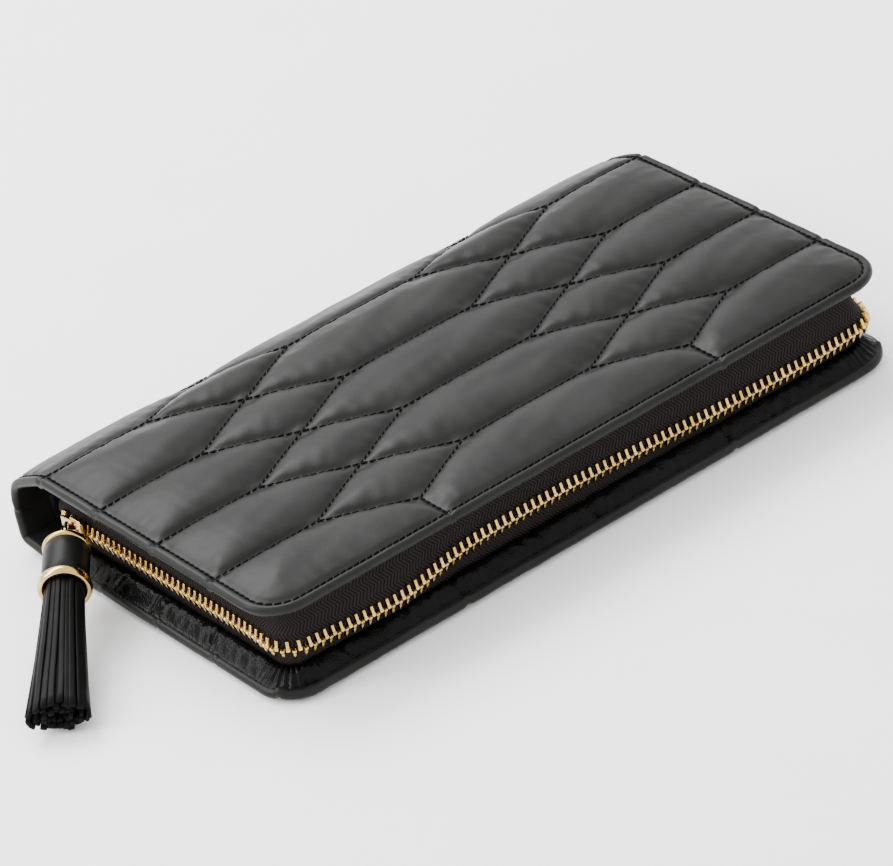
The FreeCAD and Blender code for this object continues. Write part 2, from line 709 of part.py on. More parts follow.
BRIDGE_TOP = "(%s + Sizes.bridge_gap + Sizes.bridge_thickness)" % PLATE_FACE
BRIDGE_BACK = "%s - Sizes.bridge_length / 2" % SLIDER_REST
BRIDGE_LOW = "%s - Sizes.bridge_height / 2" % CHAIN_LEVEL
bridge_block = box(
    "bridge_block", "Sizes.bridge_gap + Sizes.bridge_thickness", "Sizes.bridge_length",
    "Sizes.bridge_height", "-" + BRIDGE_TOP, BRIDGE_BACK, BRIDGE_LOW,
)
bridge_eye = box(
    "bridge_eye", "Sizes.bridge_gap + " + OVERRUN, "Sizes.bridge_length - 2 * Sizes.bridge_thickness",
    "Sizes.bridge_height + 2 * " + OVERRUN, "-%s - Sizes.bridge_gap" % PLATE_FACE,
    "%s + Sizes.bridge_thickness" % BRIDGE_BACK, "%s - %s" % (BRIDGE_LOW, OVERRUN),
)
keep("slider_bridge", cut("slider_bridge", bridge_block, bridge_eye))

# Pull link: a wire loop whose inner bar stands under the bridge
plate_face = chain_x + size("tooth_thickness") / 2 + size("slider_clearance") + size("slider_plate")
link_bar = Vector(-plate_face - size("bridge_gap") / 2, slider_rest, chain_level)
heading = math.radians(size("tassel_heading"))
ahead = Vector(-math.cos(heading), -math.sin(heading), 0)
link_turn = size("link_length") / 2
link_straight = size("link_inner_height") / 2 + size("link_wire") / 2 - link_turn
link = new_body("pull_link_body")
path = sketch_on(link, "pull_link_path", "XZ_Plane", "0")
normal = Vector(0, 0, 1)
path.addGeometry(
    [
        Part.LineSegment(Vector(0, link_straight, 0), Vector(0, -link_straight, 0)),
        Part.ArcOfCircle(
            Part.Circle(Vector(link_turn, -link_straight, 0), normal, link_turn), math.pi, 2 * math.pi
        ),
        Part.LineSegment(
            Vector(2 * link_turn, -link_straight, 0), Vector(2 * link_turn, link_straight, 0)
        ),
        Part.ArcOfCircle(Part.Circle(Vector(link_turn, link_straight, 0), normal, link_turn), 0, math.pi),
    ],
    False,
)
for edge in range(4):
    path.addConstraint(Sketcher.Constraint("Tangent", edge, 2, (edge + 1) % 4, 1))
path.addConstraint(Sketcher.Constraint("Symmetric", 0, 1, 0, 2, -1))
path.addConstraint(Sketcher.Constraint("PointOnObject", 0, 1, -2))
bind(path, Sketcher.Constraint("Radius", 1, link_turn), "Sizes.link_length / 2")
bind(
    path, Sketcher.Constraint("DistanceY", 0, 2, 0, 1, 2 * link_straight),
    "Sizes.link_inner_height + Sizes.link_wire - Sizes.link_length",
)
ring = sketch_on(link, "pull_link_section", "XY_Plane", "0")
ring.addGeometry(Part.Circle(Vector(0, 0, 0), normal, size("link_wire") / 2), False)
ring.addConstraint(Sketcher.Constraint("Coincident", 0, 3, -1, 1))
bind(ring, Sketcher.Constraint("Radius", 0, size("link_wire") / 2), "Sizes.link_wire / 2")
wire_loop = link.newObject("PartDesign::AdditivePipe", "pull_link_wire")
wire_loop.Profile = ring
wire_loop.Spine = path
link.Placement = FreeCAD.Placement(link_bar, FreeCAD.Rotation(Vector(1, 0, 0), ahead))
keep("pull_link", link)

# Tassel: drawn along its own Z from the eye, then laid on the table
decline = math.radians(size("tassel_decline"))
tassel_axis = ahead * math.cos(decline) - Vector(0, 0, 1) * math.sin(decline)
sideways = Vector(0, 0, 1).cross(ahead).normalize()
tassel_up = tassel_axis.cross(sideways)
tassel_eye_place = link_bar + ahead * size("link_length") + Vector(0, 0, size("tassel_eye_rise"))
tassel_place = FreeCAD.Placement(
    tassel_eye_place, FreeCAD.Rotation(sideways, tassel_up, tassel_axis, "ZXY")
)


def rod(name, radius, length, start):
    """A round length on the tassel's axis."""
    cylinder = doc.addObject("Part::Cylinder", name)
    cylinder.setExpression("Radius", radius)
    cylinder.setExpression("Height", length)
    cylinder.setExpression("Placement.Base.z", start)
    return cylinder


def lay(node, piece):
    piece.Placement = tassel_place
    return keep(node, piece)


BARREL_START = "(Sizes.cap_start + Sizes.cap_thickness)"
BAND_START = "(%s + Sizes.barrel_length)" % BARREL_START
eye_loop = doc.addObject("Part::Torus", "tassel_eye_loop")
eye_loop.setExpression("Radius1", "Sizes.eye_radius")
eye_loop.setExpression("Radius2", "Sizes.eye_wire / 2")
eye_loop.Placement = FreeCAD.Placement(Vector(0, 0, 0), FreeCAD.Rotation(Vector(1, 0, 0), 90))
EYE_STEM = "Sizes.eye_radius"
stem = rod("tassel_eye_stem", "Sizes.eye_wire / 2", "%s - %s" % (BARREL_START, EYE_STEM), EYE_STEM)
lay("tassel_eye", join("tassel_eye", [eye_loop, stem]))
HOLE = "Sizes.eye_wire / 2 + Sizes.fit_clearance"
cap_disc = rod("cap_disc", "Sizes.cap_radius", "Sizes.cap_thickness", "Sizes.cap_start")
cap_hole = rod("cap_hole", HOLE, "Sizes.cap_thickness", "Sizes.cap_start")
lay("tassel_top_cap", cut("tassel_top_cap", cap_disc, cap_hole))
barrel_tube = rod("barrel_tube", "Sizes.barrel_radius", "Sizes.barrel_length", BARREL_START)
BARREL_BORE = "Sizes.core_radius + Sizes.fit_clearance"
barrel_bore = rod("barrel_bore", BARREL_BORE, "Sizes.barrel_length", BARREL_START)
lay("tassel_barrel", cut("tassel_barrel", barrel_tube, barrel_bore))
core_rod = rod("core_rod", "Sizes.core_radius", "Sizes.barrel_length", BARREL_START)
lay("tassel_core", group("tassel_core", [core_rod]))
band_ring = rod("band_ring", "Sizes.band_radius", "Sizes.band_length", BAND_START)
BAND_BORE = "Sizes.fringe_neck_radius + Sizes.fit_clearance"
band_bore = rod("band_bore", BAND_BORE, "Sizes.band_length", BAND_START)
lay("tassel_band", cut("tassel_band", band_ring, band_bore))

fringe_start = size("cap_start") + size("cap_thickness") + size("barrel_length")
strips = int(size("fringe_strip_count"))


def fringe_section(share, half_width, half_height, groove):
    """The fringe cut across: one ridge for each strip of leather."""
    corners = []
    for index in range(2 * strips + 1):
        angle = math.pi * index / strips
        inset = groove * (index % 2)
        x = (half_width - inset) * math.cos(angle)
        y = (half_height - inset) * math.sin(angle)
        corners.append(Vector(x, y, fringe_start + share * size("fringe_length")))
    corners[-1] = corners[0]
    return Part.makePolygon(corners)


neck = size("fringe_neck_radius")
groove = size("strip_groove")
fringe = doc.addObject("Part::Feature", "tassel_fringe_strips")
fringe.Shape = Part.makeLoft(
    [
        fringe_section(0.0, neck, neck, groove),
        fringe_section(1.0, size("fringe_end_half_width"), size("fringe_end_half_height"), groove),
    ],
    True,
    True,
)
lay("tassel_fringe", fringe)

doc.recompute()
failed = [item.Name for item in doc.Objects if "Invalid" in item.State or "Error" in item.State]
if failed:
    raise RuntimeError("failed objects: %s" % failed)
for node, item in parts.items():
    if item.Shape.isNull() or not item.Shape.isValid() or not item.Shape.Solids:
        raise RuntimeError("bad shape: " + node)
    box_of = item.Shape.BoundBox
    print(
        "%-20s solids %3d volume %10.1f  x %.1f..%.1f  y %.1f..%.1f  z %.1f..%.1f"
        % (
            node, len(item.Shape.Solids), item.Shape.Volume, box_of.XMin, box_of.XMax,
            box_of.YMin, box_of.YMax, box_of.ZMin, box_of.ZMax,
        )
    )

os.makedirs("parts", exist_ok=True)
for node, item in parts.items():
    item.Shape.exportStep("parts/%s.step" % node)
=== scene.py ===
"""Looks of a quilted leather jewellery case with a zip and a tassel pull.

Shapes are worked out in millimetres in the model's own frame and shrunk to metres at the end.
X runs along the long zip side, -Y is the front, +Y is the folded spine and +Z is up.
"""

import math
import random

import bmesh
import bpy
import numpy as np
from mathutils import Matrix, Vector, noise


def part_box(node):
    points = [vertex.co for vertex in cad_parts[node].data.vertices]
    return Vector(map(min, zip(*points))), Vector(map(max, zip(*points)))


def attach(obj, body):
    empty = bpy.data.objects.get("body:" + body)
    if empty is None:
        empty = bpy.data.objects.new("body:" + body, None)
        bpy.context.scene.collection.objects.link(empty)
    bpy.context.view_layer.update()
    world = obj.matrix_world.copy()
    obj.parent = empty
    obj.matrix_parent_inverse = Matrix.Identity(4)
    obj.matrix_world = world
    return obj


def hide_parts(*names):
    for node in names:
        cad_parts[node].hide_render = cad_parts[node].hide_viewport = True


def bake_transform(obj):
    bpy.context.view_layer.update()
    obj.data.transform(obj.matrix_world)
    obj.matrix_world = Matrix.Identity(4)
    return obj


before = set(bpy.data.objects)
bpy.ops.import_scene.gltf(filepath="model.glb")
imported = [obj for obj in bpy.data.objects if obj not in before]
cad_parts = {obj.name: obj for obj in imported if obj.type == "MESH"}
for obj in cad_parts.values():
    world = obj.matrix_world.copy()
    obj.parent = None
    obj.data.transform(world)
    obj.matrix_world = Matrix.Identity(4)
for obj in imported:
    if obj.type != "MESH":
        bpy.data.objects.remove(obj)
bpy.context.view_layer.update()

MM = 0.001

# Sizes of the case, in millimetres
HALF_LENGTH = 120.0
HALF_DEPTH = 69.2
CORNER = 13.5
LIP = 3.0
BASE_LIP = 1.5
LID_LIP = 33.7
BASE_INNER = 4.5
LID_INNER = 30.7
CHAIN_LEVEL = 17.6
TOP_RADIUS = 24.0
FOOT_RADIUS = 5.0
TOP_Y = HALF_DEPTH - TOP_RADIUS
TOP_Z = LID_LIP - TOP_RADIUS
FOOT_Y = HALF_DEPTH - FOOT_RADIUS
FOOT_Z = BASE_LIP + FOOT_RADIUS
TOP_TURN = TOP_RADIUS * math.pi / 2
WALL_END = TOP_TURN + TOP_Z - FOOT_Z
FOLD_END = WALL_END + FOOT_RADIUS * math.pi / 2
FRONT_RUN = -(HALF_DEPTH + TOP_Y)
LAST_RUN = FOLD_END + HALF_DEPTH + FOOT_Y

# How far the leather stands off a round spine, along the run: flat slopes between its creases
SPINE_CREASES = (
    (0.0, 0.0), (2.2, 0.1), (4.2, -0.4), (8.4, -0.9), (12.6, -0.8), (16.8, -0.1), (19.5, 0.8), (22.0, 1.3),
    (24.5, 1.0), (30.0, -0.2), (33.5, -1.2), (37.7, -1.8), (40.9, -2.0), (44.8, -2.2), (48.8, -1.2),
    (54.8, -0.6), (62.0, 0.0),
)

# Quilting
STITCH_INSET = 3.0
ROW_PITCH = 28.8
FIRST_ROW = FRONT_RUN + 30.2
DIAMOND_X = 52.3
DIAMOND_HALF = 27.4
LID_PUFF = 2.9
SPINE_PUFF = 1.3
BASE_PUFF = 1.5
PUFF_REACH = 12.5
PUFF_SOFTNESS = 0.42
EDGE_EASE = 0.6
STITCH_PITCH = 2.4
STITCH_LENGTH = 2.75
THREAD_WIDTH = 0.62
STITCH_SLANT = math.radians(8)
STITCH_SUNK = 0.12
STITCH_SIDES = 6
STITCH_RINGS = 4
SKIN_STEP = 0.95
TURN_IN = 12.8
PUFF_FULLNESS = 0.8
GROOVE_DEPTH = 0.55
GROOVE_WIDTH = 1.0
DIMPLE_DEPTH = 0.06
DIMPLE_REACH = 1.3
SPINE_PUFF_RUNS = (-6.0, 10.0)
CREASE_BLUR = (-2.0, -1.0, 0.0, 1.0, 2.0)

# Wrinkles of the leather: heights, and the lengths over which they change
PUCKER_HEIGHT = 0.5
PUCKER_LENGTH = 3.6
PUCKER_WIDTH = 14.0
PUCKER_REACH = 5.5
PUCKER_START = 1.5
RUMPLE_HEIGHT = 0.5
RUMPLE_LENGTH = 26.0
STREAK_HEIGHT = 0.34
STREAK_LENGTH = 34.0
STREAK_WIDTH = 16.0
LIP_CROWN = 0.3
LIP_CREASE = 0.75
LIP_CREASE_WIDTH = 0.9
LIP_CREASE_REACH = 14.0
LIP_RUMPLE = 0.18
LIP_RUMPLE_LENGTH = 7.0

# Where the leather bends, past the ends of the lower fold
LOWER_FOLD_BEFORE = 2.0
LOWER_FOLD_AFTER = 6.0

# Zip
CHAIN_INSET = 5.7
TAPE_FOOT_INSET = 9.6
TAPE_EDGE = 0.95
TAPE_END = 47.0
CHAIN_END = 44.0
END_TURN = 9.0
TAPE_TONGUE = 22.0
FACING = 30.0
TOOTH_PITCH = 2.75
FIRST_TOOTH = 1.1
SLIDER_Y = 38.5
RIB_PITCH = 1.25
RIB_ZIGZAG = 1.9
TAPE_STEP = 1.4
TAPE_ROWS = 10
TAPE_BOW = 0.9
TAPE_RIPPLE = 0.25
TAPE_THICKNESS = 0.7
TAPE_UNDER_TEETH = 0.3
TAPE_UNDER_FOLD = 3.0

# Teeth and end stops as blocks: width, depth, foot and top
TOOTH_LEG = (0.95, 2.4, -2.8, 0.2)
TOOTH_HEAD = (1.25, 2.6, -0.7, 0.5)
TOOTH_SOFTNESS = 0.24
STOP_CLAMP = (2.2, 2.6, -3.0, -0.5)
STOP_SOFTNESS = 0.4
STOP_PAST_CHAIN = 1.55

# Leather turned in over the edges
TURNED_INSET = 1.4
TURNED_WIDTH = 7.9
TURNED_STEP = 0.42
TURNED_ROWS = 14
TURNED_THICKNESS = 0.5
BASE_FULLNESS = 3.8
LID_FULLNESS = 2.5
TURNED_CREST = 0.8
TURNED_TUCK = 1.6
SIDE_SEAMS = (30.0, 1.0, -28.0)
SEAM_DEPTH = 0.7
SEAM_WIDTH = 0.8
CRINKLE_HEIGHT = 0.45
PLEAT_HEIGHT = 0.6
PLEAT_RATE = 3.4

# How slack the zip is, as (place along its path from the middle of the left front corner, slack)
ZIP_SLACK = (
    (-8.0, 0.0), (3.0, 2.8), (12.6, 3.3), (22.6, 4.5), (40.6, 5.5), (50.6, 3.2), (59.6, 1.2), (69.6, 0.0),
    (104.6, 0.0), (124.6, 1.1), (144.6, 2.4), (164.6, 3.5), (203.6, 4.4), (219.0, 3.6), (231.4, 2.5),
    (270.0, 0.0),
)
SLACK_OUT = 0.6
SLACK_DOWN = 0.55
SLACK_BLUR = (-6, -3, 0, 3, 6)

# Slider; the flanges' places are measured from its back and lower end
SLIDER_PLATE = 1.3
SLIDER_TAPER = 0.72
SLIDER_SOFTNESS = 0.5
FLANGE = 1.2
FLANGE_X = (0.4, 2.0)
FLANGE_Y = (0.6, 6.4)
LOOP_THICKNESS = 1.3
LOOP_SOFTNESS = 0.3

# Tassel
EYE = Vector((-122.128, 33.526, 18.6))
HEADING = math.radians(51.0)
DECLINE = math.radians(9.5)
LINK_BAR = Vector((-118.1, SLIDER_Y, CHAIN_LEVEL))
LINK_HALF_HEIGHT = 4.1
LINK_WIRE = 1.4
EYE_WIRE = 1.2
EYE_AHEAD = 0.3
EYE_HALF_LENGTH = 2.0
EYE_HALF_WIDTH = 1.7
CAP_START = 2.6
CAP_END = CAP_START + 1.6
BARREL_END = CAP_END + 14.5
BAND_END = BARREL_END + 2.8
FRINGE_END = BARREL_END + 57.0
BAND_INNER = 6.3
BAND_OUTER = 8.3
BAND_BULGE = 1.0
BAND_OVERLAP = 0.3

# Profiles of the tassel's cap and barrel as (radius, place along the axis)
CAP_PROFILE = (
    (0, CAP_START - 0.2), (1.0, CAP_START - 0.2), (1.6, CAP_START + 0.2), (5.0, CAP_START + 0.2),
    (5.4, CAP_START - 0.3), (6.2, CAP_START - 0.5), (7.0, CAP_START - 0.2), (7.4, CAP_START + 0.5),
    (7.4, CAP_END - 0.3), (7.0, CAP_END + 0.2), (0, CAP_END + 0.2),
)
BARREL_PROFILE = (
    (4.5, CAP_END), (6.6, CAP_END), (7.0, CAP_END + 0.6), (7.15, CAP_END + 4), (7.2, BARREL_END - 4),
    (7.1, BARREL_END - 0.5), (6.8, BARREL_END), (4.5, BARREL_END), (4.5, CAP_END),
)

# Fringe: layers of strips as (how many, how far out), widths, and its gathered and flared ends
STRIP_LAYERS = ((26, 1.0), (22, 0.78), (16, 0.5))
OUTER_STRIP = 1.85
INNER_STRIP = 1.6
STRIP_SOFTNESS = 0.24
STRIP_CUTS = 13
STRIP_SEED = 11
GATHERED_RADIUS = 6.0
FLARED_WIDTH = 9.6
FLARED_HEIGHT = 5.3
STRIP_SWING = 0.05
STRIP_LIFT = 0.5
STRIP_TWIST = 0.35
TABLE_CLEARANCE = 0.3

# Inside
LINING_STEP_X = 4
LINING_STEP_RUN = 1.5
LINING_THICKNESS = 0.7
LINING_GAP = 0.2
LINING_OVER_LID = 1.5
LINING_OVER_BASE = 20.0
TRAY_WALL = 2.0
TRAY_FLOOR = 0.3
SUEDE_EDGE = 0.6
ROLL_COUNT = 7
ROLL_PITCH = 12.6
ROLL_RADIUS = 6.0
ROLL_SIDES = 28
ROLL_CUTS = 22
ROLL_END_INSET = 2.2
ROLL_TOUCH = 6.2
ROLL_LIFT = 6.45
ROLL_STRETCH = 1.08
POCKET_COLUMNS = 104
POCKET_ROWS = 24
POCKET_THICKNESS = 0.6
POCKET_FULLNESS = 1.55
POCKET_RUMPLE = 0.35
POCKET_START = 0.75
TAB_COUNT = 5
TAB_WIDTH = 9.0
TAB_PITCH = 36.0
TAB_CORNER = 3.2
SNAP_FOOT = 2.4
SNAP_TOP = 3.2

# Light, in metres and watts, and the camera that matches the photograph
WORLD_STRENGTH = 2.1
BACK_PANEL = {"place": (-0.1, 0.9, 1.1), "aim": (0, 0, 0), "size": (1.2, 0.7), "power": 34.0}
LEFT_PANEL = {"place": (-1.1, 0.55, 0.8), "aim": (0, 0, 0.02), "size": (0.5, 0.8), "power": 18.0}
SENSOR_WIDTH = 36.0
FOCAL_LENGTH = 211.46
CAMERA_PLACE = Vector((-748.233, -1138.170, 851.031))
CAMERA_RIGHT = Vector((0.77209873, -0.61704881, -0.15203391))
CAMERA_DOWN = Vector((-0.4329103, -0.33554736, -0.83665802))
CAMERA_AHEAD = Vector((0.46524426, 0.71179964, -0.52620248))


# Materials


def new_finish(name, colour, roughness, metallic=0.0, **sockets):
    """A material with its shader; other socket values by their names with _ for a space."""
    finish = bpy.data.materials.new(name)
    finish.use_nodes = True
    shader = finish.node_tree.nodes["Principled BSDF"]
    shader.inputs["Base Color"].default_value = (*colour, 1.0)
    shader.inputs["Roughness"].default_value = roughness
    shader.inputs["Metallic"].default_value = metallic
    for key, value in sockets.items():
        shader.inputs[key.replace("_", " ")].default_value = value
    return finish, finish.node_tree, shader


def add_node(tree, kind, **settings):
    """A node, with its settings and, where a name is a socket's, that socket's value."""
    node = tree.nodes.new(kind)
    for key, value in settings.items():
        if hasattr(node, key):
            setattr(node, key, value)
        else:
            node.inputs[key.replace("_", " ")].default_value = value
    return node


def feed(node, **values):
    """Link values to a node's sockets, each by the socket's name with _ for a space."""
    for key, value in values.items():
        node.id_data.links.new(value, node.inputs[key.replace("_", " ")])


def math_of(tree, operation, first, second=None):
    """The result of one step of arithmetic; the second value is a number or another node's output."""
    node = add_node(tree, "ShaderNodeMath", operation=operation)
    tree.links.new(first, node.inputs[0])
    if isinstance(second, float):
        node.inputs[1].default_value = second
    elif second is not None:
        tree.links.new(second, node.inputs[1])
    return node.outputs["Value"]


def object_places(tree):
    return add_node(tree, "ShaderNodeTexCoord").outputs["Object"]


def noise_of(tree, places, scale, detail=3.0, roughness=0.55):
    grain = add_node(tree, "ShaderNodeTexNoise", Scale=scale, Detail=detail, Roughness=roughness)
    feed(grain, Vector=places)
    return grain.outputs["Fac"]


def ramp_of(tree, value, low, high, dark, light):
    """Colour from dark to light as the value goes from low to high."""
    ramp = add_node(tree, "ShaderNodeValToRGB")
    ramp.color_ramp.elements[0].position = low
    ramp.color_ramp.elements[0].color = (*dark, 1.0)
    ramp.color_ramp.elements[1].position = high
    ramp.color_ramp.elements[1].color = (*light, 1.0)
    feed(ramp, Fac=value)
    return ramp.outputs["Color"]


def range_of(tree, value, low, high):
    spread = add_node(tree, "ShaderNodeMapRange", To_Min=low, To_Max=high)
    feed(spread, Value=value)
    return spread.outputs["Result"]


def bump_of(tree, height, strength, depth, under=None):
    bump = add_node(tree, "ShaderNodeBump", Strength=strength, Distance=depth)
    feed(bump, Height=height)
    if under is not None:
        feed(bump, Normal=under)
    return bump.outputs["Normal"]


def leather_finish(name, dark, light, dull, bright, grain_depth, shine):
    """Black leather: fine pores, faint creases, tone and gloss that drift over the hide."""
    finish, tree, shader = new_finish(name, light, dull, Specular_IOR_Level=shine)
    places = object_places(tree)
    pores = add_node(tree, "ShaderNodeTexVoronoi", Scale=1500.0)
    feed(pores, Vector=places)
    hide = noise_of(tree, places, 40.0, 4.0)
    creases = noise_of(tree, places, 420.0, 5.0, 0.6)
    fine = bump_of(tree, pores.outputs["Distance"], 0.35, grain_depth)
    worked = bump_of(tree, creases, 0.3, grain_depth * 2.0, fine)
    tone = ramp_of(tree, hide, 0.35, 0.7, dark, light)
    feed(shader, Base_Color=tone, Roughness=range_of(tree, creases, bright, dull), Normal=worked)
    return finish


def gold_finish():
    """Polished gold-coloured metal with light brushing and a warmer tone in places."""
    finish, tree, shader = new_finish("gold_metal", (0.6, 0.42, 0.16), 0.18, 1.0)
    places = object_places(tree)
    tone = noise_of(tree, places, 160.0, 2.0)
    scuffs = noise_of(tree, places, 1400.0, 4.0, 0.7)
    gold = ramp_of(tree, tone, 0.3, 0.75, (0.44, 0.29, 0.09), (0.68, 0.48, 0.19))
    worn = range_of(tree, scuffs, 0.12, 0.26)
    feed(shader, Base_Color=gold, Roughness=worn, Normal=bump_of(tree, scuffs, 0.05, 0.00001))
    return finish


def thread_finish():
    """Black sewing thread with its twist."""
    finish, tree, shader = new_finish("sewing_thread", (0.004, 0.004, 0.004), 0.6, Specular_IOR_Level=0.06)
    places = object_places(tree)
    twist = add_node(tree, "ShaderNodeTexWave", Scale=1600.0, Distortion=2.0)
    feed(twist, Vector=places)
    tone = ramp_of(tree, twist.outputs["Fac"], 0.2, 0.8, (0.001, 0.001, 0.001), (0.004, 0.004, 0.004))
    feed(shader, Base_Color=tone, Normal=bump_of(tree, twist.outputs["Fac"], 0.5, 0.0001))
    return finish


def suede_finish(name, dark, light):
    """Short-napped suede lining."""
    finish, tree, shader = new_finish(name, light, 0.92, Sheen_Weight=0.35, Sheen_Roughness=0.5)
    places = object_places(tree)
    nap = noise_of(tree, places, 2600.0, 3.0, 0.7)
    brushed = noise_of(tree, places, 55.0, 4.0)
    mix = add_node(tree, "ShaderNodeMath", operation="MULTIPLY_ADD")
    mix.inputs[1].default_value = 0.5
    tree.links.new(nap, mix.inputs[0])
    tree.links.new(range_of(tree, brushed, 0.0, 0.5), mix.inputs[2])
    tone = ramp_of(tree, mix.outputs["Value"], 0.3, 0.72, dark, light)
    feed(shader, Base_Color=tone, Normal=bump_of(tree, nap, 0.45, 0.0002))
    return finish


def tape_finish():
    """Woven zip tape: herringbone ribs that follow the tape, from its along and across values."""
    finish, tree, shader = new_finish("zip_tape", (0.02, 0.018, 0.018), 0.8, Specular_IOR_Level=0.1)
    along = add_node(tree, "ShaderNodeAttribute", attribute_name="along").outputs["Fac"]
    across = add_node(tree, "ShaderNodeAttribute", attribute_name="across").outputs["Fac"]
    lean = math_of(tree, "ADD", along, math_of(tree, "PINGPONG", across, RIB_ZIGZAG))
    wave = math_of(tree, "SINE", math_of(tree, "MULTIPLY", lean, 2.0 * math.pi / RIB_PITCH))
    spread = add_node(tree, "ShaderNodeMapRange", From_Min=-1.0)
    feed(spread, Value=wave)
    height = spread.outputs["Result"]
    tone = ramp_of(tree, height, 0.1, 0.9, (0.0035, 0.0027, 0.0026), (0.018, 0.0138, 0.0132))
    feed(shader, Base_Color=tone, Normal=bump_of(tree, height, 0.8, 0.00025))
    return finish


def board_finish():
    """Grey pressed board, seen only at its cut edges."""
    finish, tree, shader = new_finish("pressed_board", (0.2, 0.18, 0.16), 0.9)
    fibres = noise_of(tree, object_places(tree), 700.0, 5.0, 0.7)
    tone = ramp_of(tree, fibres, 0.3, 0.7, (0.14, 0.13, 0.11), (0.26, 0.24, 0.2))
    feed(shader, Base_Color=tone, Normal=bump_of(tree, fibres, 0.3, 0.0002))
    return finish


QUILT_LEATHER = leather_finish(
    "quilted_leather", (0.0065, 0.0063, 0.006), (0.0115, 0.0112, 0.0108), 0.46, 0.34, 0.00004, 0.12
)
CRINKLED_LEATHER = leather_finish(
    "crinkled_leather", (0.0015, 0.0015, 0.0015), (0.003, 0.003, 0.003), 0.36, 0.14, 0.00025, 0.07
)
STRIP_LEATHER = leather_finish(
    "tassel_leather", (0.0015, 0.0015, 0.0015), (0.004, 0.004, 0.0038), 0.55, 0.38, 0.00008, 0.05
)
BARREL_LEATHER = leather_finish(
    "barrel_leather", (0.004, 0.0038, 0.0036), (0.0075, 0.0072, 0.007), 0.44, 0.32, 0.00005, 0.09
)
GOLD = gold_finish()
THREAD = thread_finish()
SUEDE = suede_finish("suede_lining", (0.2, 0.175, 0.15), (0.4, 0.36, 0.31))
TAPE = tape_finish()
BOARD = board_finish()


# Making pieces


def shown(name, mesh, finish, smooth=True):
    """A piece of one finish from a mesh in metres."""
    mesh.polygons.foreach_set("use_smooth", [smooth] * len(mesh.polygons))
    mesh.materials.clear()
    mesh.materials.append(finish)
    piece = bpy.data.objects.new(name, mesh)
    bpy.context.scene.collection.objects.link(piece)
    return piece


def piece_from(bm, name, finish, smooth=True, outward=True):
    """A piece from a bmesh drawn in millimetres."""
    if outward:
        bm.normal_update()
        bmesh.ops.recalc_face_normals(bm, faces=bm.faces)
    mesh = bpy.data.meshes.new(name)
    bm.to_mesh(mesh)
    bm.free()
    mesh.transform(Matrix.Scale(MM, 4))
    return shown(name, mesh, finish, smooth)


def soften(bm, width, segments=2, edges=None):
    """Round the edges of a blocky shape."""
    bmesh.ops.bevel(
        bm, geom=list(edges or bm.edges), offset=width, offset_type="OFFSET", affect="EDGES",
        segments=segments, profile=0.5, material=-1, clamp_overlap=True,
    )


def block(bm, low, high):
    """A block between two corners; gives its vertices."""
    low = Vector(low)
    high = Vector(high)
    size = high - low
    place = Matrix.Translation((low + high) / 2) @ Matrix.Diagonal((*size, 1.0))
    return bmesh.ops.create_cube(bm, size=1.0, matrix=place)["verts"]


def upright_edges(bm):
    return [e for e in bm.edges if abs(e.verts[0].co.z - e.verts[1].co.z) > 0.5]


def repeat_shape(bm, places):
    """Repeat the shape that a bmesh holds, once at each of the places."""
    fresh = bpy.data.meshes.new("repeated_shape")
    bm.to_mesh(fresh)
    bm.clear()
    bm.from_mesh(fresh)
    bpy.data.meshes.remove(fresh)
    shape = np.array([v.co for v in bm.verts])
    copies = 1
    while copies < len(places):
        bmesh.ops.duplicate(bm, geom=list(bm.verts) + list(bm.edges) + list(bm.faces))
        copies *= 2
    bm.verts.ensure_lookup_table()
    surplus = bm.verts[len(places) * len(shape):]
    if surplus:
        bmesh.ops.delete(bm, geom=surplus, context="VERTS")
    verts = iter(bm.verts)
    for place in places:
        turn = np.array(place)
        for point in shape @ turn[:3, :3].T + turn[:3, 3]:
            next(verts).co = point


def mm_box(node):
    low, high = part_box(node)
    return Vector(low) / MM, Vector(high) / MM


def dress(piece, body, node):
    """Let a piece ride on a body in place of the node that it dresses."""
    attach(piece, body)
    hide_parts(node)


# The quilted skin


def folded(run):
    """Places y, z of the skin at lip level and its outward direction, along the run from the top fold."""
    run = np.asarray(run, float)
    top = np.pi / 2 - run / TOP_RADIUS
    foot = -(run - WALL_END) / FOOT_RADIUS
    parts = [run <= 0, run <= TOP_TURN, run <= WALL_END, run <= FOLD_END]
    top_y = TOP_Y + TOP_RADIUS * np.cos(top)
    top_z = TOP_Z + TOP_RADIUS * np.sin(top)
    foot_y = FOOT_Y + FOOT_RADIUS * np.cos(foot)
    foot_z = FOOT_Z + FOOT_RADIUS * np.sin(foot)
    y = np.select(parts, [TOP_Y + run, top_y, HALF_DEPTH, foot_y], FOOT_Y - run + FOLD_END)
    z = np.select(parts, [LID_LIP, top_z, TOP_Z + TOP_TURN - run, foot_z], BASE_LIP)
    out_y = np.select(parts, [0.0, np.cos(top), 1.0, np.cos(foot)], 0.0)
    out_z = np.select(parts, [1.0, np.sin(top), 0.0, np.sin(foot)], -1.0)
    creased = sum(np.interp(run + step, *zip(*SPINE_CREASES)) for step in CREASE_BLUR) / len(CREASE_BLUR)
    return y + out_y * creased, z + out_z * creased, out_y, out_z


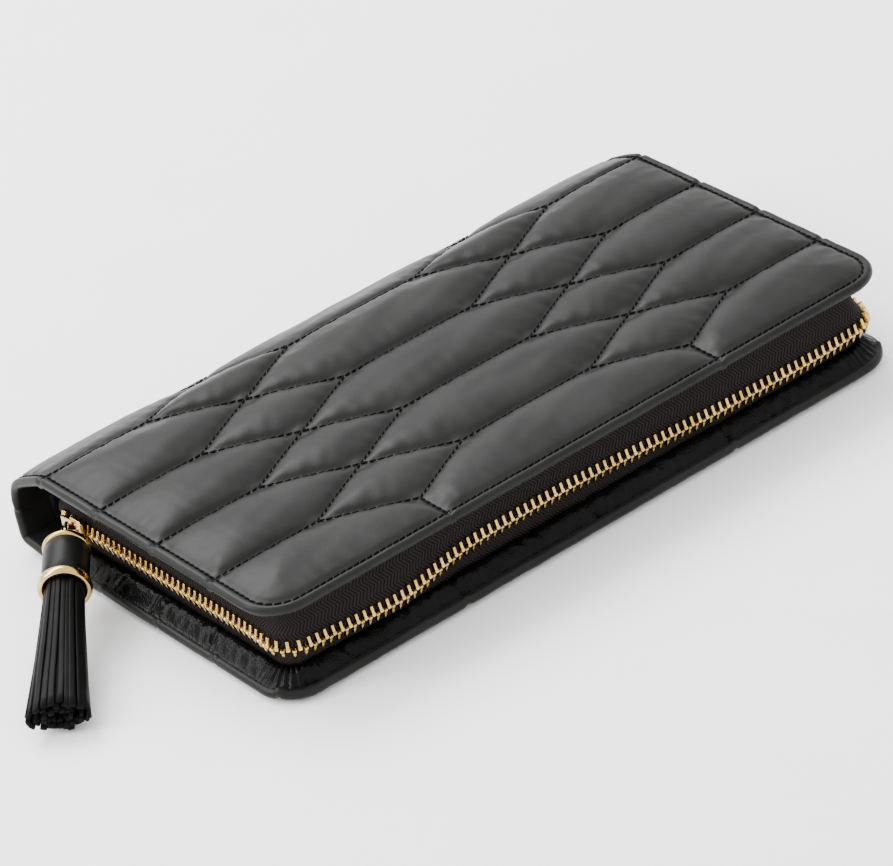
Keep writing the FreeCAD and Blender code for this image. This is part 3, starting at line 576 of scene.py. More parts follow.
def quilt_lines():
    """Sewn lines of the quilt as pairs of (x, run): rows that open into two bands of diamonds."""
    lines = []
    inner = DIAMOND_X - DIAMOND_HALF
    outer = DIAMOND_X + DIAMOND_HALF
    end = HALF_LENGTH - STITCH_INSET
    row = FIRST_ROW
    while row < LAST_RUN - STITCH_INSET:
        lines.append(((-inner, row), (inner, row)))
        for hand in (-1, 1):
            lines.append(((hand * outer, row), (hand * end, row)))
            for tip in (inner, outer):
                for middle in (row - ROW_PITCH / 2, row + ROW_PITCH / 2):
                    if FRONT_RUN + STITCH_INSET < middle < LAST_RUN - STITCH_INSET:
                        lines.append(((hand * tip, row), (hand * DIAMOND_X, middle)))
        row += ROW_PITCH
    first_tip = FIRST_ROW - ROW_PITCH / 2
    for hand in (-1, 1):
        lines.append(((hand * DIAMOND_X, first_tip), (hand * DIAMOND_X, FRONT_RUN + STITCH_INSET)))
    return lines


QUILT_LINES = quilt_lines()
ROWS = sorted({line[0][1] for line in QUILT_LINES if line[0][1] == line[1][1]})
BACK_SEAM = ROWS[4]


def lip_places(p, q):
    """Leather of one cover laid over its edges: p across and q back from the front edge.

    Both go on past the edge, round the lip and in under it. Gives x, q, the distance in from
    the edge before the curl, and how far the curl drops.
    """
    side = np.where(p < 0, -1.0, 1.0)
    reach = np.abs(p)
    past_x = reach - (HALF_LENGTH - CORNER)
    past_q = CORNER - q
    corner = (past_x > 0) & (past_q > 0)
    a = np.maximum(past_x, 1e-6)
    b = np.maximum(past_q, 1e-6)
    turn = np.where(a >= b, np.pi / 4 * b / a, np.pi / 2 - np.pi / 4 * a / b)
    edge_x = HALF_LENGTH - reach
    inset = np.where(corner, CORNER - np.maximum(a, b), np.minimum(edge_x, q))
    curl_radius = LIP / 2
    curl = np.clip((curl_radius - inset) / curl_radius, 0, None)
    curled = np.where(curl <= np.pi, curl_radius * (1 - np.sin(curl)), curl_radius * (1 + curl - np.pi))
    lain = np.where(inset >= curl_radius, inset, curled)
    drop = np.where(curl <= np.pi, curl_radius * (np.cos(curl) - 1), -LIP)
    radius = CORNER - lain
    corner_x = side * (HALF_LENGTH - CORNER + radius * np.cos(turn))
    corner_q = CORNER - radius * np.sin(turn)
    sideways = edge_x < q
    x = np.where(corner, corner_x, np.where(sideways, side * (HALF_LENGTH - lain), p))
    back = np.where(corner, corner_q, np.where(sideways, q, lain))
    return x, back, inset, drop


def pulled_down(x, run, inset):
    """Distance to the nearest sewn line, a softened distance, and the place along that line."""
    pull = np.exp(-PUFF_SOFTNESS * EDGE_EASE * np.abs(inset - STITCH_INSET))
    near = np.abs(inset - STITCH_INSET)
    along = np.where(np.abs(x) > HALF_LENGTH - CORNER, run, x)
    for (x0, r0), (x1, r1) in QUILT_LINES:
        dx = x1 - x0
        dr = r1 - r0
        length = math.hypot(dx, dr)
        share = np.clip(((x - x0) * dx + (run - r0) * dr) / length ** 2, 0, 1)
        away = np.hypot(x - x0 - share * dx, run - r0 - share * dr)
        pull += np.exp(-PUFF_SOFTNESS * away)
        along = np.where(away < near, share * length, along)
        near = np.minimum(near, away)
    return near, np.maximum(-np.log(pull) / PUFF_SOFTNESS, 0), along


def noise_at(a, b, layer):
    """Smooth noise at each pair of places, from one layer of it."""
    return np.array([noise.noise((u, v, layer)) for u, v in zip(a, b)])


def puff_height(x, run, inset, drop, puff):
    """Height of the finished skin over lip level: puffs, sewn grooves, puckers and creased lips."""
    near, soft, along = pulled_down(x, run, inset)
    share = np.clip(soft / PUFF_REACH, 0, 1)
    height = puff * (1 - (1 - share) ** 2) ** PUFF_FULLNESS
    pucker = noise_at(along / PUCKER_LENGTH, near / PUCKER_WIDTH, 3.1)
    rumple = noise_at(x / RUMPLE_LENGTH, run / RUMPLE_LENGTH, 7.7)
    streak = noise_at((x + 1.6 * run) / STREAK_LENGTH, (x - 2.4 * run) / STREAK_WIDTH, 5.2)
    height += PUCKER_HEIGHT * pucker * np.exp(-near / PUCKER_REACH) * np.clip(near / PUCKER_START, 0, 1)
    height += (RUMPLE_HEIGHT * rumple + STREAK_HEIGHT * streak) * share
    height -= DIMPLE_DEPTH * np.cos(2 * np.pi * along / STITCH_PITCH) * np.exp(-near / DIMPLE_REACH)
    groove = GROOVE_DEPTH * np.exp(-((near / GROOVE_WIDTH) ** 2))
    height -= groove
    lip = inset < STITCH_INSET
    crown = LIP_CROWN * np.sin(np.pi * np.clip(inset / STITCH_INSET, 0, 1))
    crease = np.zeros_like(x)
    for row in ROWS:
        near_end = np.abs(x) > HALF_LENGTH - LIP_CREASE_REACH
        crease += np.exp(-(((run - row) / LIP_CREASE_WIDTH) ** 2)) * near_end
    for tip in (-DIAMOND_X, DIAMOND_X):
        crease += np.exp(-(((x - tip) / LIP_CREASE_WIDTH) ** 2)) * lip
    curled = noise_at(x / LIP_RUMPLE_LENGTH, run / LIP_RUMPLE_LENGTH, 1.3)
    lip_height = drop + crown - groove - LIP_CREASE * crease * (drop > -LIP) + LIP_RUMPLE * curled
    return np.where(lip, lip_height, height)


def skin_point(x, run, height):
    y, z, out_y, out_z = folded(run)
    return np.stack([x, y + out_y * height, z + out_z * height], axis=-1)


def quilted_cover(name, on_base):
    """One cover with its half of the spine, from the back seam to the front edge and in under its lips."""
    curl_radius = LIP / 2
    past = TURN_IN - 2 * curl_radius + math.pi * curl_radius
    depth = LAST_RUN - BACK_SEAM if on_base else BACK_SEAM - FRONT_RUN
    half = HALF_LENGTH + past
    columns = int(2 * half / SKIN_STEP)
    rows = int((depth + past) / SKIN_STEP)
    bm = bmesh.new()
    bmesh.ops.create_grid(bm, x_segments=columns, y_segments=rows, size=1.0)
    flat = np.array([v.co for v in bm.verts])
    p = flat[:, 0] * half
    q = (flat[:, 1] + 1) / 2 * (depth + past) - past
    x, back, inset, drop = lip_places(p, q)
    run = LAST_RUN - back if on_base else FRONT_RUN + back
    puff = BASE_PUFF if on_base else np.interp(run, SPINE_PUFF_RUNS, (LID_PUFF, SPINE_PUFF))
    height = puff_height(x, run, inset, drop, puff)
    if on_base:
        height = np.minimum(height, BASE_PUFF)
    for vert, place in zip(bm.verts, skin_point(x, run, height)):
        vert.co = place
    if on_base:
        bmesh.ops.reverse_faces(bm, faces=bm.faces)
    return piece_from(bm, name, QUILT_LEATHER, outward=False)


def stitch_place(place, ahead, out):
    """Where a stitch lies: a little sunk in the leather, along its sewn line."""
    side = out.cross(ahead).normalized()
    turn = Matrix((ahead, side, out)).transposed().to_4x4()
    slant = Matrix.Rotation(STITCH_SLANT, 4, "Z")
    return Matrix.Translation(place - out * STITCH_SUNK) @ turn @ slant


def skin_spot(x, run):
    y, z, out_y, out_z = (float(v) for v in folded(run))
    return Vector((x, y, z)), Vector((0, out_y, out_z))


def sewn_along(start, end, low, high):
    """Places of the stitches from one (x, run) to another, where the run is between low and high."""
    places = []
    span = Vector((end[0] - start[0], end[1] - start[1]))
    count = max(1, int(span.length / STITCH_PITCH))
    for index in range(count):
        share = (index + 0.5) / count
        x = start[0] + span.x * share
        run = start[1] + span.y * share
        if not low <= run < high:
            continue
        here, out = skin_spot(x, run)
        step = span.normalized() * 0.2
        ahead = (skin_spot(x + step.x, run + step.y)[0] - here).normalized()
        places.append(stitch_place(here, ahead, out))
    return places


def quilt_stitches(name, on_base):
    """All the stitches of one cover: the quilt lines and the line along its edge."""
    low = BACK_SEAM if on_base else FRONT_RUN
    high = LAST_RUN if on_base else BACK_SEAM
    places = []
    for start, end in QUILT_LINES:
        places += sewn_along(start, end, low, high)
    edge_x = HALF_LENGTH - STITCH_INSET
    front = LAST_RUN if on_base else FRONT_RUN
    inward = -1 if on_base else 1
    for hand in (-1, 1):
        side_start = (hand * edge_x, front + inward * CORNER)
        places += sewn_along(side_start, (hand * edge_x, BACK_SEAM), low, high + 0.001)
        turn_radius = CORNER - STITCH_INSET
        count = int(turn_radius * math.pi / 2 / STITCH_PITCH)
        for index in range(count):
            angle = math.pi / 2 * (index + 0.5) / count
            x = hand * (HALF_LENGTH - CORNER + turn_radius * math.cos(angle))
            run = front + inward * (CORNER - turn_radius * math.sin(angle))
            here, out = skin_spot(x, run)
            ahead = Vector((-hand * math.sin(angle), -math.cos(angle), 0))
            places.append(stitch_place(here, ahead, out))
    line = front + inward * STITCH_INSET
    straight = HALF_LENGTH - CORNER
    places += sewn_along((-straight, line), (straight, line), low, high)
    bm = bmesh.new()
    capsule = Matrix.Diagonal((STITCH_LENGTH / 2, THREAD_WIDTH / 2, THREAD_WIDTH / 2, 1.0))
    bmesh.ops.create_uvsphere(
        bm, u_segments=STITCH_SIDES, v_segments=STITCH_RINGS, radius=1.0, matrix=capsule
    )
    repeat_shape(bm, places)
    return piece_from(bm, name, THREAD)


def fold_points():
    """Where the leather begins and ends each of its two folds, in metres."""
    upper = [skin_spot(0, ROWS[3])[0] * MM, skin_spot(0, BACK_SEAM)[0] * MM]
    start = WALL_END - LOWER_FOLD_BEFORE
    end = FOLD_END + LOWER_FOLD_AFTER
    lower = [skin_spot(0, start)[0] * MM, skin_spot(0, end)[0] * MM]
    return upper, lower


UPPER_FOLD, LOWER_FOLD = fold_points()


def bend_with(piece, on_base):
    if on_base:
        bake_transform(piece)
    else:
        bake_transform(piece)


def make_skin():
    lid = quilted_cover("lid_quilted_skin", False)
    base = quilted_cover("base_quilted_skin", True)
    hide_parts("lid_quilt", "spine_quilt")
    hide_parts("base_quilt")
    for piece, on_base in ((lid, False), (base, True)):
        bend_with(piece, on_base)
    for name, on_base in (("lid_stitches", False), ("base_stitches", True)):
        thread = quilt_stitches(name, on_base)
        bend_with(thread, on_base)


make_skin()


# Zip


def edge_path(end):
    """Lengths of the chain's path along a side, round a corner and along the front."""
    turn = CORNER - CHAIN_INSET
    side = end + HALF_DEPTH - CORNER
    front = 2 * (HALF_LENGTH - CORNER)
    return side, turn * math.pi / 2, front


def edge_spot(run, inset, end):
    """A point round the edge at an inset, by the run along the chain's path, and its outward direction.

    The path's two halves mirror each other. Past its ends it turns in towards the middle of the case.
    """
    side, corner = edge_path(end)[:2]
    length = edge_length(end)
    hand = -1 if run < length / 2 else 1
    run = min(run, length - run)
    near_x = HALF_LENGTH - CORNER
    if run < 0:
        angle = min(-run / END_TURN, math.pi / 2)
        straight = -run - angle * END_TURN
        out = Vector((hand * math.cos(angle), math.sin(angle), 0))
        centre = Vector((hand * (HALF_LENGTH - inset - END_TURN), end, 0))
        return centre + out * END_TURN - Vector((hand * straight, 0, 0)), out
    if run <= side:
        return Vector((hand * (HALF_LENGTH - inset), end - run, 0)), Vector((hand, 0, 0))
    run -= side
    if run <= corner:
        angle = math.pi / 2 * run / corner
        out = Vector((hand * math.cos(angle), -math.sin(angle), 0))
        return Vector((hand * near_x, CORNER - HALF_DEPTH, 0)) + out * (CORNER - inset), out
    return Vector((hand * (near_x - run + corner), inset - HALF_DEPTH, 0)), Vector((0, -1, 0))


def edge_length(end):
    side, corner, front = edge_path(end)
    return 2 * side + 2 * corner + front


def zip_slack(run, end):
    """How far the chain hangs out and down from a taut line, at a place along the path."""
    side, corner = edge_path(end)[:2]
    place = run - side - corner / 2
    slack = sum(float(np.interp(place + step, *zip(*ZIP_SLACK))) for step in SLACK_BLUR) / len(SLACK_BLUR)
    return SLACK_OUT * slack, SLACK_DOWN * slack


def chain_spot(run):
    """A point of the chain and its outward direction."""
    spot, out = edge_spot(run, CHAIN_INSET, CHAIN_END)
    outward, down = zip_slack(run, CHAIN_END)
    return spot + out * outward + Vector((0, 0, CHAIN_LEVEL - down)), out


def zip_tape(name, node, body, rise):
    """One side of the zip's tape, bowed from its sewn foot out to the teeth."""
    foot_level = BASE_INNER if rise > 0 else LID_INNER
    edge_level = CHAIN_LEVEL - rise * TAPE_EDGE
    length = edge_length(TAPE_END) + 2 * TAPE_TONGUE
    bm = bmesh.new()
    bmesh.ops.create_grid(bm, x_segments=int(length / TAPE_STEP), y_segments=TAPE_ROWS, size=1.0)
    along_layer = bm.verts.layers.float.new("along")
    across_layer = bm.verts.layers.float.new("across")
    for vert in bm.verts:
        run = (vert.co.x + 1) / 2 * length - TAPE_TONGUE
        share = (vert.co.y + 1) / 2
        bow = TAPE_BOW * math.sin(math.pi * share)
        ripple = TAPE_RIPPLE * noise.noise((run / 14.0, share * 1.5, rise))
        inset = TAPE_FOOT_INSET + (CHAIN_INSET + TAPE_UNDER_TEETH - TAPE_FOOT_INSET) * share
        outward, down = zip_slack(run, TAPE_END)
        inset += bow + ripple * math.sin(math.pi * share) - outward * share
        spot = edge_spot(run, inset, TAPE_END)[0]
        foot = foot_level
        if rise < 0 and spot.y > TOP_Y:
            under_fold = TOP_RADIUS - LIP - TAPE_UNDER_FOLD
            foot = min(foot, TOP_Z + math.sqrt(under_fold ** 2 - (spot.y - TOP_Y) ** 2))
        level = foot + (edge_level - down - foot) * share
        vert[along_layer] = run
        vert[across_layer] = share * abs(edge_level - foot_level)
        vert.co = spot + Vector((0, 0, level))
    bmesh.ops.solidify(bm, geom=list(bm.faces), thickness=TAPE_THICKNESS)
    piece = piece_from(bm, name, TAPE)
    dress(piece, body, node)


def turned_in_band(name, node, body, rise):
    """Glossy leather turned in over one cover's edge: crinkled, crossed by seams, pleated at the corners."""
    level = BASE_INNER if rise > 0 else LID_INNER
    fullness = BASE_FULLNESS if rise > 0 else LID_FULLNESS
    length = edge_length(TAPE_END)
    side, corner, front = edge_path(TAPE_END)
    seams = [TAPE_END - row for row in SIDE_SEAMS]
    seams += [side + corner + front / 2 + x for x in (-DIAMOND_X, 0.0, DIAMOND_X)]
    seams += [length - seam for seam in seams[:len(SIDE_SEAMS)]]
    bm = bmesh.new()
    bmesh.ops.create_grid(bm, x_segments=int(length / TURNED_STEP), y_segments=TURNED_ROWS, size=1.0)
    for vert in bm.verts:
        run = (vert.co.x + 1) / 2 * length
        share = (vert.co.y + 1) / 2
        inset = TURNED_INSET + TURNED_WIDTH * share
        swell = fullness * math.sin(math.pi / 2 * min(1.0, share / TURNED_CREST)) ** 1.5
        tuck = TURNED_TUCK * max(0.0, (share - TURNED_CREST) / 0.2) ** 2
        slant = run + 2.5 * noise.noise((run / 30.0, share, 2.0))
        crinkle = 0.6 - 2.0 * abs(noise.noise((slant / 4.5, share * 1.6, 4.0 * rise)))
        crinkle += 0.7 * noise.noise((slant / 2.2, share * 3.0, 9.0 * rise))
        crinkle *= 0.55 + 0.9 * max(0.0, noise.noise((run / 11.0, 0.0, 6.0 * rise)) + 0.3)
        seam = sum(math.exp(-(((run - s) / SEAM_WIDTH) ** 2)) for s in seams)
        bend = min(abs(run - side - corner / 2), abs(run - length + side + corner / 2)) / corner
        pleat = max(0.0, 1.0 - bend) * math.sin(run * PLEAT_RATE) * PLEAT_HEIGHT
        worked = CRINKLE_HEIGHT * crinkle - SEAM_DEPTH * seam + pleat
        height = swell - tuck + worked * min(1.0, share * 3.0)
        spot = edge_spot(run, inset, TAPE_END)[0]
        vert.co = spot + Vector((0, 0, level + rise * max(-0.1, height)))
    bmesh.ops.solidify(bm, geom=list(bm.faces), thickness=TURNED_THICKNESS)
    dress(piece_from(bm, name, CRINKLED_LEATHER), body, node)


def tooth_turn(out, rise):
    """Directions of a tooth: along the chain, across it and towards the other row."""
    lean = (TAPE_FOOT_INSET - CHAIN_INSET) / (CHAIN_LEVEL - BASE_INNER)
    towards = (out * lean + Vector((0, 0, rise))).normalized()
    along = out.cross(Vector((0, 0, 1))).normalized()
    return along, along.cross(towards).normalized(), towards


def metal_bits(name, node, body, spots, blocks, rise, soft):
    """Bits of gold metal clamped on one tape edge, each of bevelled blocks: width, depth, foot, top."""
    bm = bmesh.new()
    for width, depth, foot, top in blocks:
        block(bm, (-width / 2, -depth / 2, foot), (width / 2, depth / 2, top))
    soften(bm, soft, 2)
    places = []
    for spot, out in spots:
        along, across, towards = tooth_turn(out, rise)
        turn = Matrix((along, across, towards)).transposed().to_4x4()
        places.append(Matrix.Translation(spot) @ turn)
    repeat_shape(bm, places)
    dress(piece_from(bm, name, GOLD), body, node)


def make_zip():
    zip_tape("lower_woven_tape", "lower_zip_tape", "base", 1)
    zip_tape("upper_woven_tape", "upper_zip_tape", "lid", -1)
    turned_in_band("base_turned_leather", "base_turned_edge", "base", 1)
    turned_in_band("lid_turned_leather", "lid_turned_edge", "lid", -1)
    length = edge_length(CHAIN_END)
    half_pitch = TOOTH_PITCH / 2
    for name, body, rise, first in (
        ("lower", "base", 1, FIRST_TOOTH),
        ("upper", "lid", -1, FIRST_TOOTH + half_pitch),
    ):
        count = int((length - FIRST_TOOTH - first) / TOOTH_PITCH) + 1
        spots = [chain_spot(first + i * TOOTH_PITCH) for i in range(count)]
        tooth = [TOOTH_LEG, TOOTH_HEAD]
        metal_bits(name + "_teeth", name + "_zip_teeth", body, spots, tooth, rise, TOOTH_SOFTNESS)
        ends = []
        for hand in (-1, 1):
            place = Vector((hand * (HALF_LENGTH - CHAIN_INSET), CHAIN_END + STOP_PAST_CHAIN, CHAIN_LEVEL))
            ends.append((place, Vector((hand, 0, 0))))
        metal_bits(name + "_end_stops", name + "_zip_stops", body, ends, [STOP_CLAMP], rise, STOP_SOFTNESS)


make_zip()


# Slider and link


def make_slider():
    """Two plates that taper to one end, with flanges turned in over the chain."""
    low, high = mm_box("slider_body")
    bm = bmesh.new()
    for inner, outer in ((low.x, low.x + SLIDER_PLATE), (high.x - SLIDER_PLATE, high.x)):
        verts = block(bm, (inner, low.y, low.z), (outer, high.y, high.z))
        for vert in verts:
            if vert.co.y > high.y - 1:
                vert.co.z = CHAIN_LEVEL + (vert.co.z - CHAIN_LEVEL) * SLIDER_TAPER
    for level in (low.z, high.z):
        inward = FLANGE if level < CHAIN_LEVEL else -FLANGE
        foot = (low.x + FLANGE_X[0], low.y + FLANGE_Y[0], min(level, level + inward))
        top = (low.x + FLANGE_X[1], low.y + FLANGE_Y[1], max(level, level + inward))
        block(bm, foot, top)
    soften(bm, SLIDER_SOFTNESS, 3)
    dress(piece_from(bm, "slider_plates", GOLD), "slider", "slider_body")


def make_slider_loop():
    """The arch over the slider's front plate that holds the link."""
    low, high = mm_box("slider_bridge")
    bm = bmesh.new()
    middle_y = (low.y + high.y) / 2
    reach = (high.y - low.y) / 2
    section = bmesh.ops.create_grid(bm, x_segments=1, y_segments=1, size=0.5)["verts"]
    for vert in section:
        y = low.y + LOOP_THICKNESS / 2 + vert.co.x * LOOP_THICKNESS
        vert.co = Vector((high.x, y, CHAIN_LEVEL + vert.co.y * (high.z - low.z)))
    bmesh.ops.spin(
        bm, geom=list(bm.verts) + list(bm.edges) + list(bm.faces), cent=(high.x, middle_y, CHAIN_LEVEL),
        axis=(0, 0, 1), angle=-math.pi, steps=14, use_merge=False, use_duplicate=False,
    )
    squeeze = (high.x - low.x) / reach
    for vert in bm.verts:
        vert.co.x = high.x + (vert.co.x - high.x) * squeeze
    bmesh.ops.remove_doubles(bm, verts=bm.verts, dist=0.001)
    sharp = [edge for edge in bm.edges if len(edge.link_faces) == 2 and edge.calc_face_angle(0) > 1.0]
    soften(bm, LOOP_SOFTNESS, 2, sharp)
    dress(piece_from(bm, "slider_loop", GOLD), "slider", "slider_bridge")


def wire_ring(name, centre, ways, half_long, half_high, thickness, finish):
    """A closed wire loop round a centre: ways are its long and its high direction."""
    curve = bpy.data.curves.new(name, "CURVE")
    curve.dimensions = "3D"
    curve.bevel_depth = thickness / 2 * MM
    curve.bevel_resolution = 5
    curve.resolution_u = 8
    spline = curve.splines.new("NURBS")
    corners = [(1, 0), (1, 1), (0, 1), (-1, 1), (-1, 0), (-1, -1), (0, -1), (1, -1)]
    spline.points.add(len(corners) - 1)
    for point, (a, b) in zip(spline.points, corners):
        weight = 0.72 if a and b else 1.0
        point.co = (*((centre + ways[0] * (a * half_long) + ways[1] * (b * half_high)) * MM), weight)
    spline.use_cyclic_u = True
    spline.order_u = 3
    holder = bpy.data.objects.new(name + "_wire", curve)
    bpy.context.scene.collection.objects.link(holder)
    bpy.context.view_layer.update()
    mesh = bpy.data.meshes.new_from_object(holder.evaluated_get(bpy.context.evaluated_depsgraph_get()))
    bpy.data.objects.remove(holder)
    return shown(name, mesh, finish)


AHEAD = Vector((-math.cos(HEADING), -math.sin(HEADING), 0))
TASSEL_AXIS = AHEAD * math.cos(DECLINE) - Vector((0, 0, 1)) * math.sin(DECLINE)
TASSEL_SIDE = Vector((0, 0, 1)).cross(AHEAD).normalized()
TASSEL_UP = TASSEL_AXIS.cross(TASSEL_SIDE)
TASSEL_FRAME = Matrix.Translation(EYE) @ Matrix((TASSEL_SIDE, TASSEL_UP, TASSEL_AXIS)).transposed().to_4x4()


def make_link():
    reach = (EYE - LINK_BAR).to_2d().length / 2
    link = wire_ring(
        "pull_wire_link", LINK_BAR + AHEAD * reach, (AHEAD, Vector((0, 0, 1))),
        reach, LINK_HALF_HEIGHT, LINK_WIRE, GOLD,
    )
    dress(link, "link", "pull_link")


make_slider()
make_slider_loop()
make_link()


# Tassel


def turned_piece(name, node, profile, finish, steps=40):
    """A round piece of the tassel: (radius, place along the axis) points spun about the axis."""
    bm = bmesh.new()
    verts = [bm.verts.new((radius, 0, place)) for radius, place in profile]
    edges = [bm.edges.new((a, b)) for a, b in zip(verts, verts[1:])]
    bmesh.ops.spin(
        bm, geom=verts + edges, cent=(0, 0, 0), axis=(0, 0, 1), angle=2 * math.pi, steps=steps, use_merge=True
    )
    bmesh.ops.remove_doubles(bm, verts=bm.verts, dist=0.001)
    bmesh.ops.transform(bm, matrix=TASSEL_FRAME, verts=bm.verts)
    dress(piece_from(bm, name, finish), "tassel", node)


def round_ring(inner, outer, low, high, bulge):
    """Profile of a ring with a rounded outside."""
    middle = (low + high) / 2
    half = (high - low) / 2
    points = [(inner, low)]
    for step in range(9):
        angle = -math.pi / 2 + math.pi * step / 8
        points.append((outer - bulge + bulge * math.cos(angle), middle + half * math.sin(angle)))
    points += [(inner, high), (inner, low)]
    return points


def make_tassel_head():
    eye = wire_ring(
        "tassel_hanging_eye", EYE + TASSEL_AXIS * EYE_AHEAD, (TASSEL_AXIS, TASSEL_SIDE),
        EYE_HALF_LENGTH, EYE_HALF_WIDTH, EYE_WIRE, GOLD,
    )
    dress(eye, "tassel", "tassel_eye")
    turned_piece("tassel_cap", "tassel_top_cap", CAP_PROFILE, GOLD)
    turned_piece("tassel_leather_barrel", "tassel_barrel", BARREL_PROFILE, BARREL_LEATHER)
    start = BARREL_END - BAND_OVERLAP
    end = BAND_END + BAND_OVERLAP
    ring = round_ring(BAND_INNER, BAND_OUTER, start, end, BAND_BULGE)
    turned_piece("tassel_gold_band", "tassel_band", ring, GOLD)


def make_fringe():
    """Cut strips of leather in three layers, gathered under the band and flared at their ends."""
    chance = random.Random(STRIP_SEED)
    strips = []
    for layer, (count, share_in) in enumerate(STRIP_LAYERS):
        for index in range(count):
            strips.append((
                2 * math.pi * (index + 0.5 * layer) / count + chance.uniform(-0.05, 0.05),
                share_in * chance.uniform(0.95, 1.03),
                chance.uniform(-2.2, 0.0),
                chance.uniform(0, 100),
                OUTER_STRIP if layer == 0 else INNER_STRIP,
            ))
    bm = bmesh.new()
    block(bm, (-0.5, -0.5, 0), (0.5, 0.5, 1))
    soften(bm, STRIP_SOFTNESS, 2, upright_edges(bm))
    bmesh.ops.subdivide_edges(bm, edges=upright_edges(bm), cuts=STRIP_CUTS, use_grid_fill=True)
    each = len(bm.verts)
    repeat_shape(bm, [Matrix.Identity(4)] * len(strips))
    for number, vert in enumerate(bm.verts):
        angle, share_in, shorter, seed, width = strips[number // each]
        down = vert.co.z
        flare = down ** 1.3
        half_wide = (GATHERED_RADIUS + (FLARED_WIDTH - GATHERED_RADIUS) * flare) * share_in
        half_high = (GATHERED_RADIUS + (FLARED_HEIGHT - GATHERED_RADIUS) * flare) * share_in
        swing = STRIP_SWING * flare * noise.noise((seed, down * 2.0, 0.0))
        lift = STRIP_LIFT * flare * noise.noise((seed, down * 2.5, 5.0))
        out = Vector((math.cos(angle + swing) * half_wide, math.sin(angle + swing) * half_high, 0))
        away = Vector((math.cos(angle) * half_high, math.sin(angle) * half_wide, 0)).normalized()
        sideways = Vector((-away.y, away.x, 0))
        wide = width * (0.8 + 0.3 * flare)
        twist = STRIP_TWIST * flare * noise.noise((seed, 3.0, 9.0))
        across = sideways * math.cos(twist) + away * math.sin(twist)
        through = away * math.cos(twist) - sideways * math.sin(twist)
        place = out + across * (vert.co.x * wide) + through * (vert.co.y - 0.5 + lift)
        place.z = BARREL_END + 0.4 + down * (FRINGE_END - BARREL_END - 0.6 + shorter)
        vert.co = place
    bmesh.ops.transform(bm, matrix=TASSEL_FRAME, verts=bm.verts)
    for vert in bm.verts:
        vert.co.z = max(vert.co.z, TABLE_CLEARANCE)
    strips_piece = piece_from(bm, "tassel_leather_strips", STRIP_LEATHER)
    dress(strips_piece, "tassel", "tassel_fringe")


make_tassel_head()
make_fringe()


# Inside of the case


def spine_sheet(name, runs, reach, on_base, finish):
    """A sheet laid on the inside of the spine; reach is where it starts and ends along x."""
    wide = reach[1] - reach[0]
    long = runs[1] - runs[0]
    bm = bmesh.new()
    columns = int(wide / LINING_STEP_X)
    rows = int(long / LINING_STEP_RUN)
    bmesh.ops.create_grid(bm, x_segments=columns, y_segments=rows, size=1.0)
    flat = (np.array([v.co for v in bm.verts]) + 1) / 2
    x = reach[0] + flat[:, 0] * wide
    places = skin_point(x, runs[0] + flat[:, 1] * long, np.full_like(x, -LIP - LINING_GAP))
    for vert, place in zip(bm.verts, places):
        vert.co = place
    bmesh.ops.solidify(bm, geom=list(bm.faces), thickness=LINING_THICKNESS)
    piece = piece_from(bm, name, finish)
    bend_with(piece, on_base)
    return piece


def make_linings():
    half = mm_box("spine_lining")[1].x
    middle = half - FACING
    for place, runs, on_base in (
        ("upper", (-LINING_OVER_LID, BACK_SEAM), False),
        ("lower", (BACK_SEAM, FOLD_END + LINING_OVER_BASE), True),
    ):
        lining = spine_sheet("spine_lining_" + place, runs, (-middle, middle), on_base, SUEDE)
        if not on_base:
            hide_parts("spine_lining")
        for end, reach in (("left", (-half, -middle)), ("right", (middle, half))):
            name = end + "_spine_facing_" + place
            spine_sheet(name, runs, reach, on_base, CRINKLED_LEATHER)
    for node, finish in (
        ("base_lining", SUEDE), ("lid_lining", SUEDE),
        ("base_board", BOARD), ("lid_board", BOARD), ("tassel_core", BOARD),
    ):
        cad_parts[node].data.materials.clear()
        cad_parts[node].data.materials.append(finish)


def make_tray():
    """Suede-covered tray walls and dividers with soft edges."""
    low, high = mm_box("tray_wall")
    bm = bmesh.new()
    block(bm, low, high)
    top = [face for face in bm.faces if face.normal.z > 0.9]
    bmesh.ops.inset_region(bm, faces=top, thickness=TRAY_WALL)
    inner = max((f for f in bm.faces if f.normal.z > 0.9), key=lambda f: f.calc_area())
    pulled = bmesh.ops.extrude_face_region(bm, geom=[inner])["geom"]
    bmesh.ops.delete(bm, geom=[inner], context="FACES")
    down = [v for v in pulled if isinstance(v, bmesh.types.BMVert)]
    bmesh.ops.translate(bm, verts=down, vec=(0, 0, low.z - high.z + TRAY_FLOOR))
    upper = [e for e in bm.edges if e.calc_face_angle(0) > 1.0 and e.verts[0].co.z > low.z + 1]
    soften(bm, SUEDE_EDGE, 3, upper)
    dress(piece_from(bm, "tray_suede_wall", SUEDE), "base", "tray_wall")
    for node in ("tray_divider_long", "tray_divider_cross"):
        bm = bmesh.new()
        block(bm, *mm_box(node))
        soften(bm, SUEDE_EDGE, 3)
        dress(piece_from(bm, node + "_suede", SUEDE), "base", node)


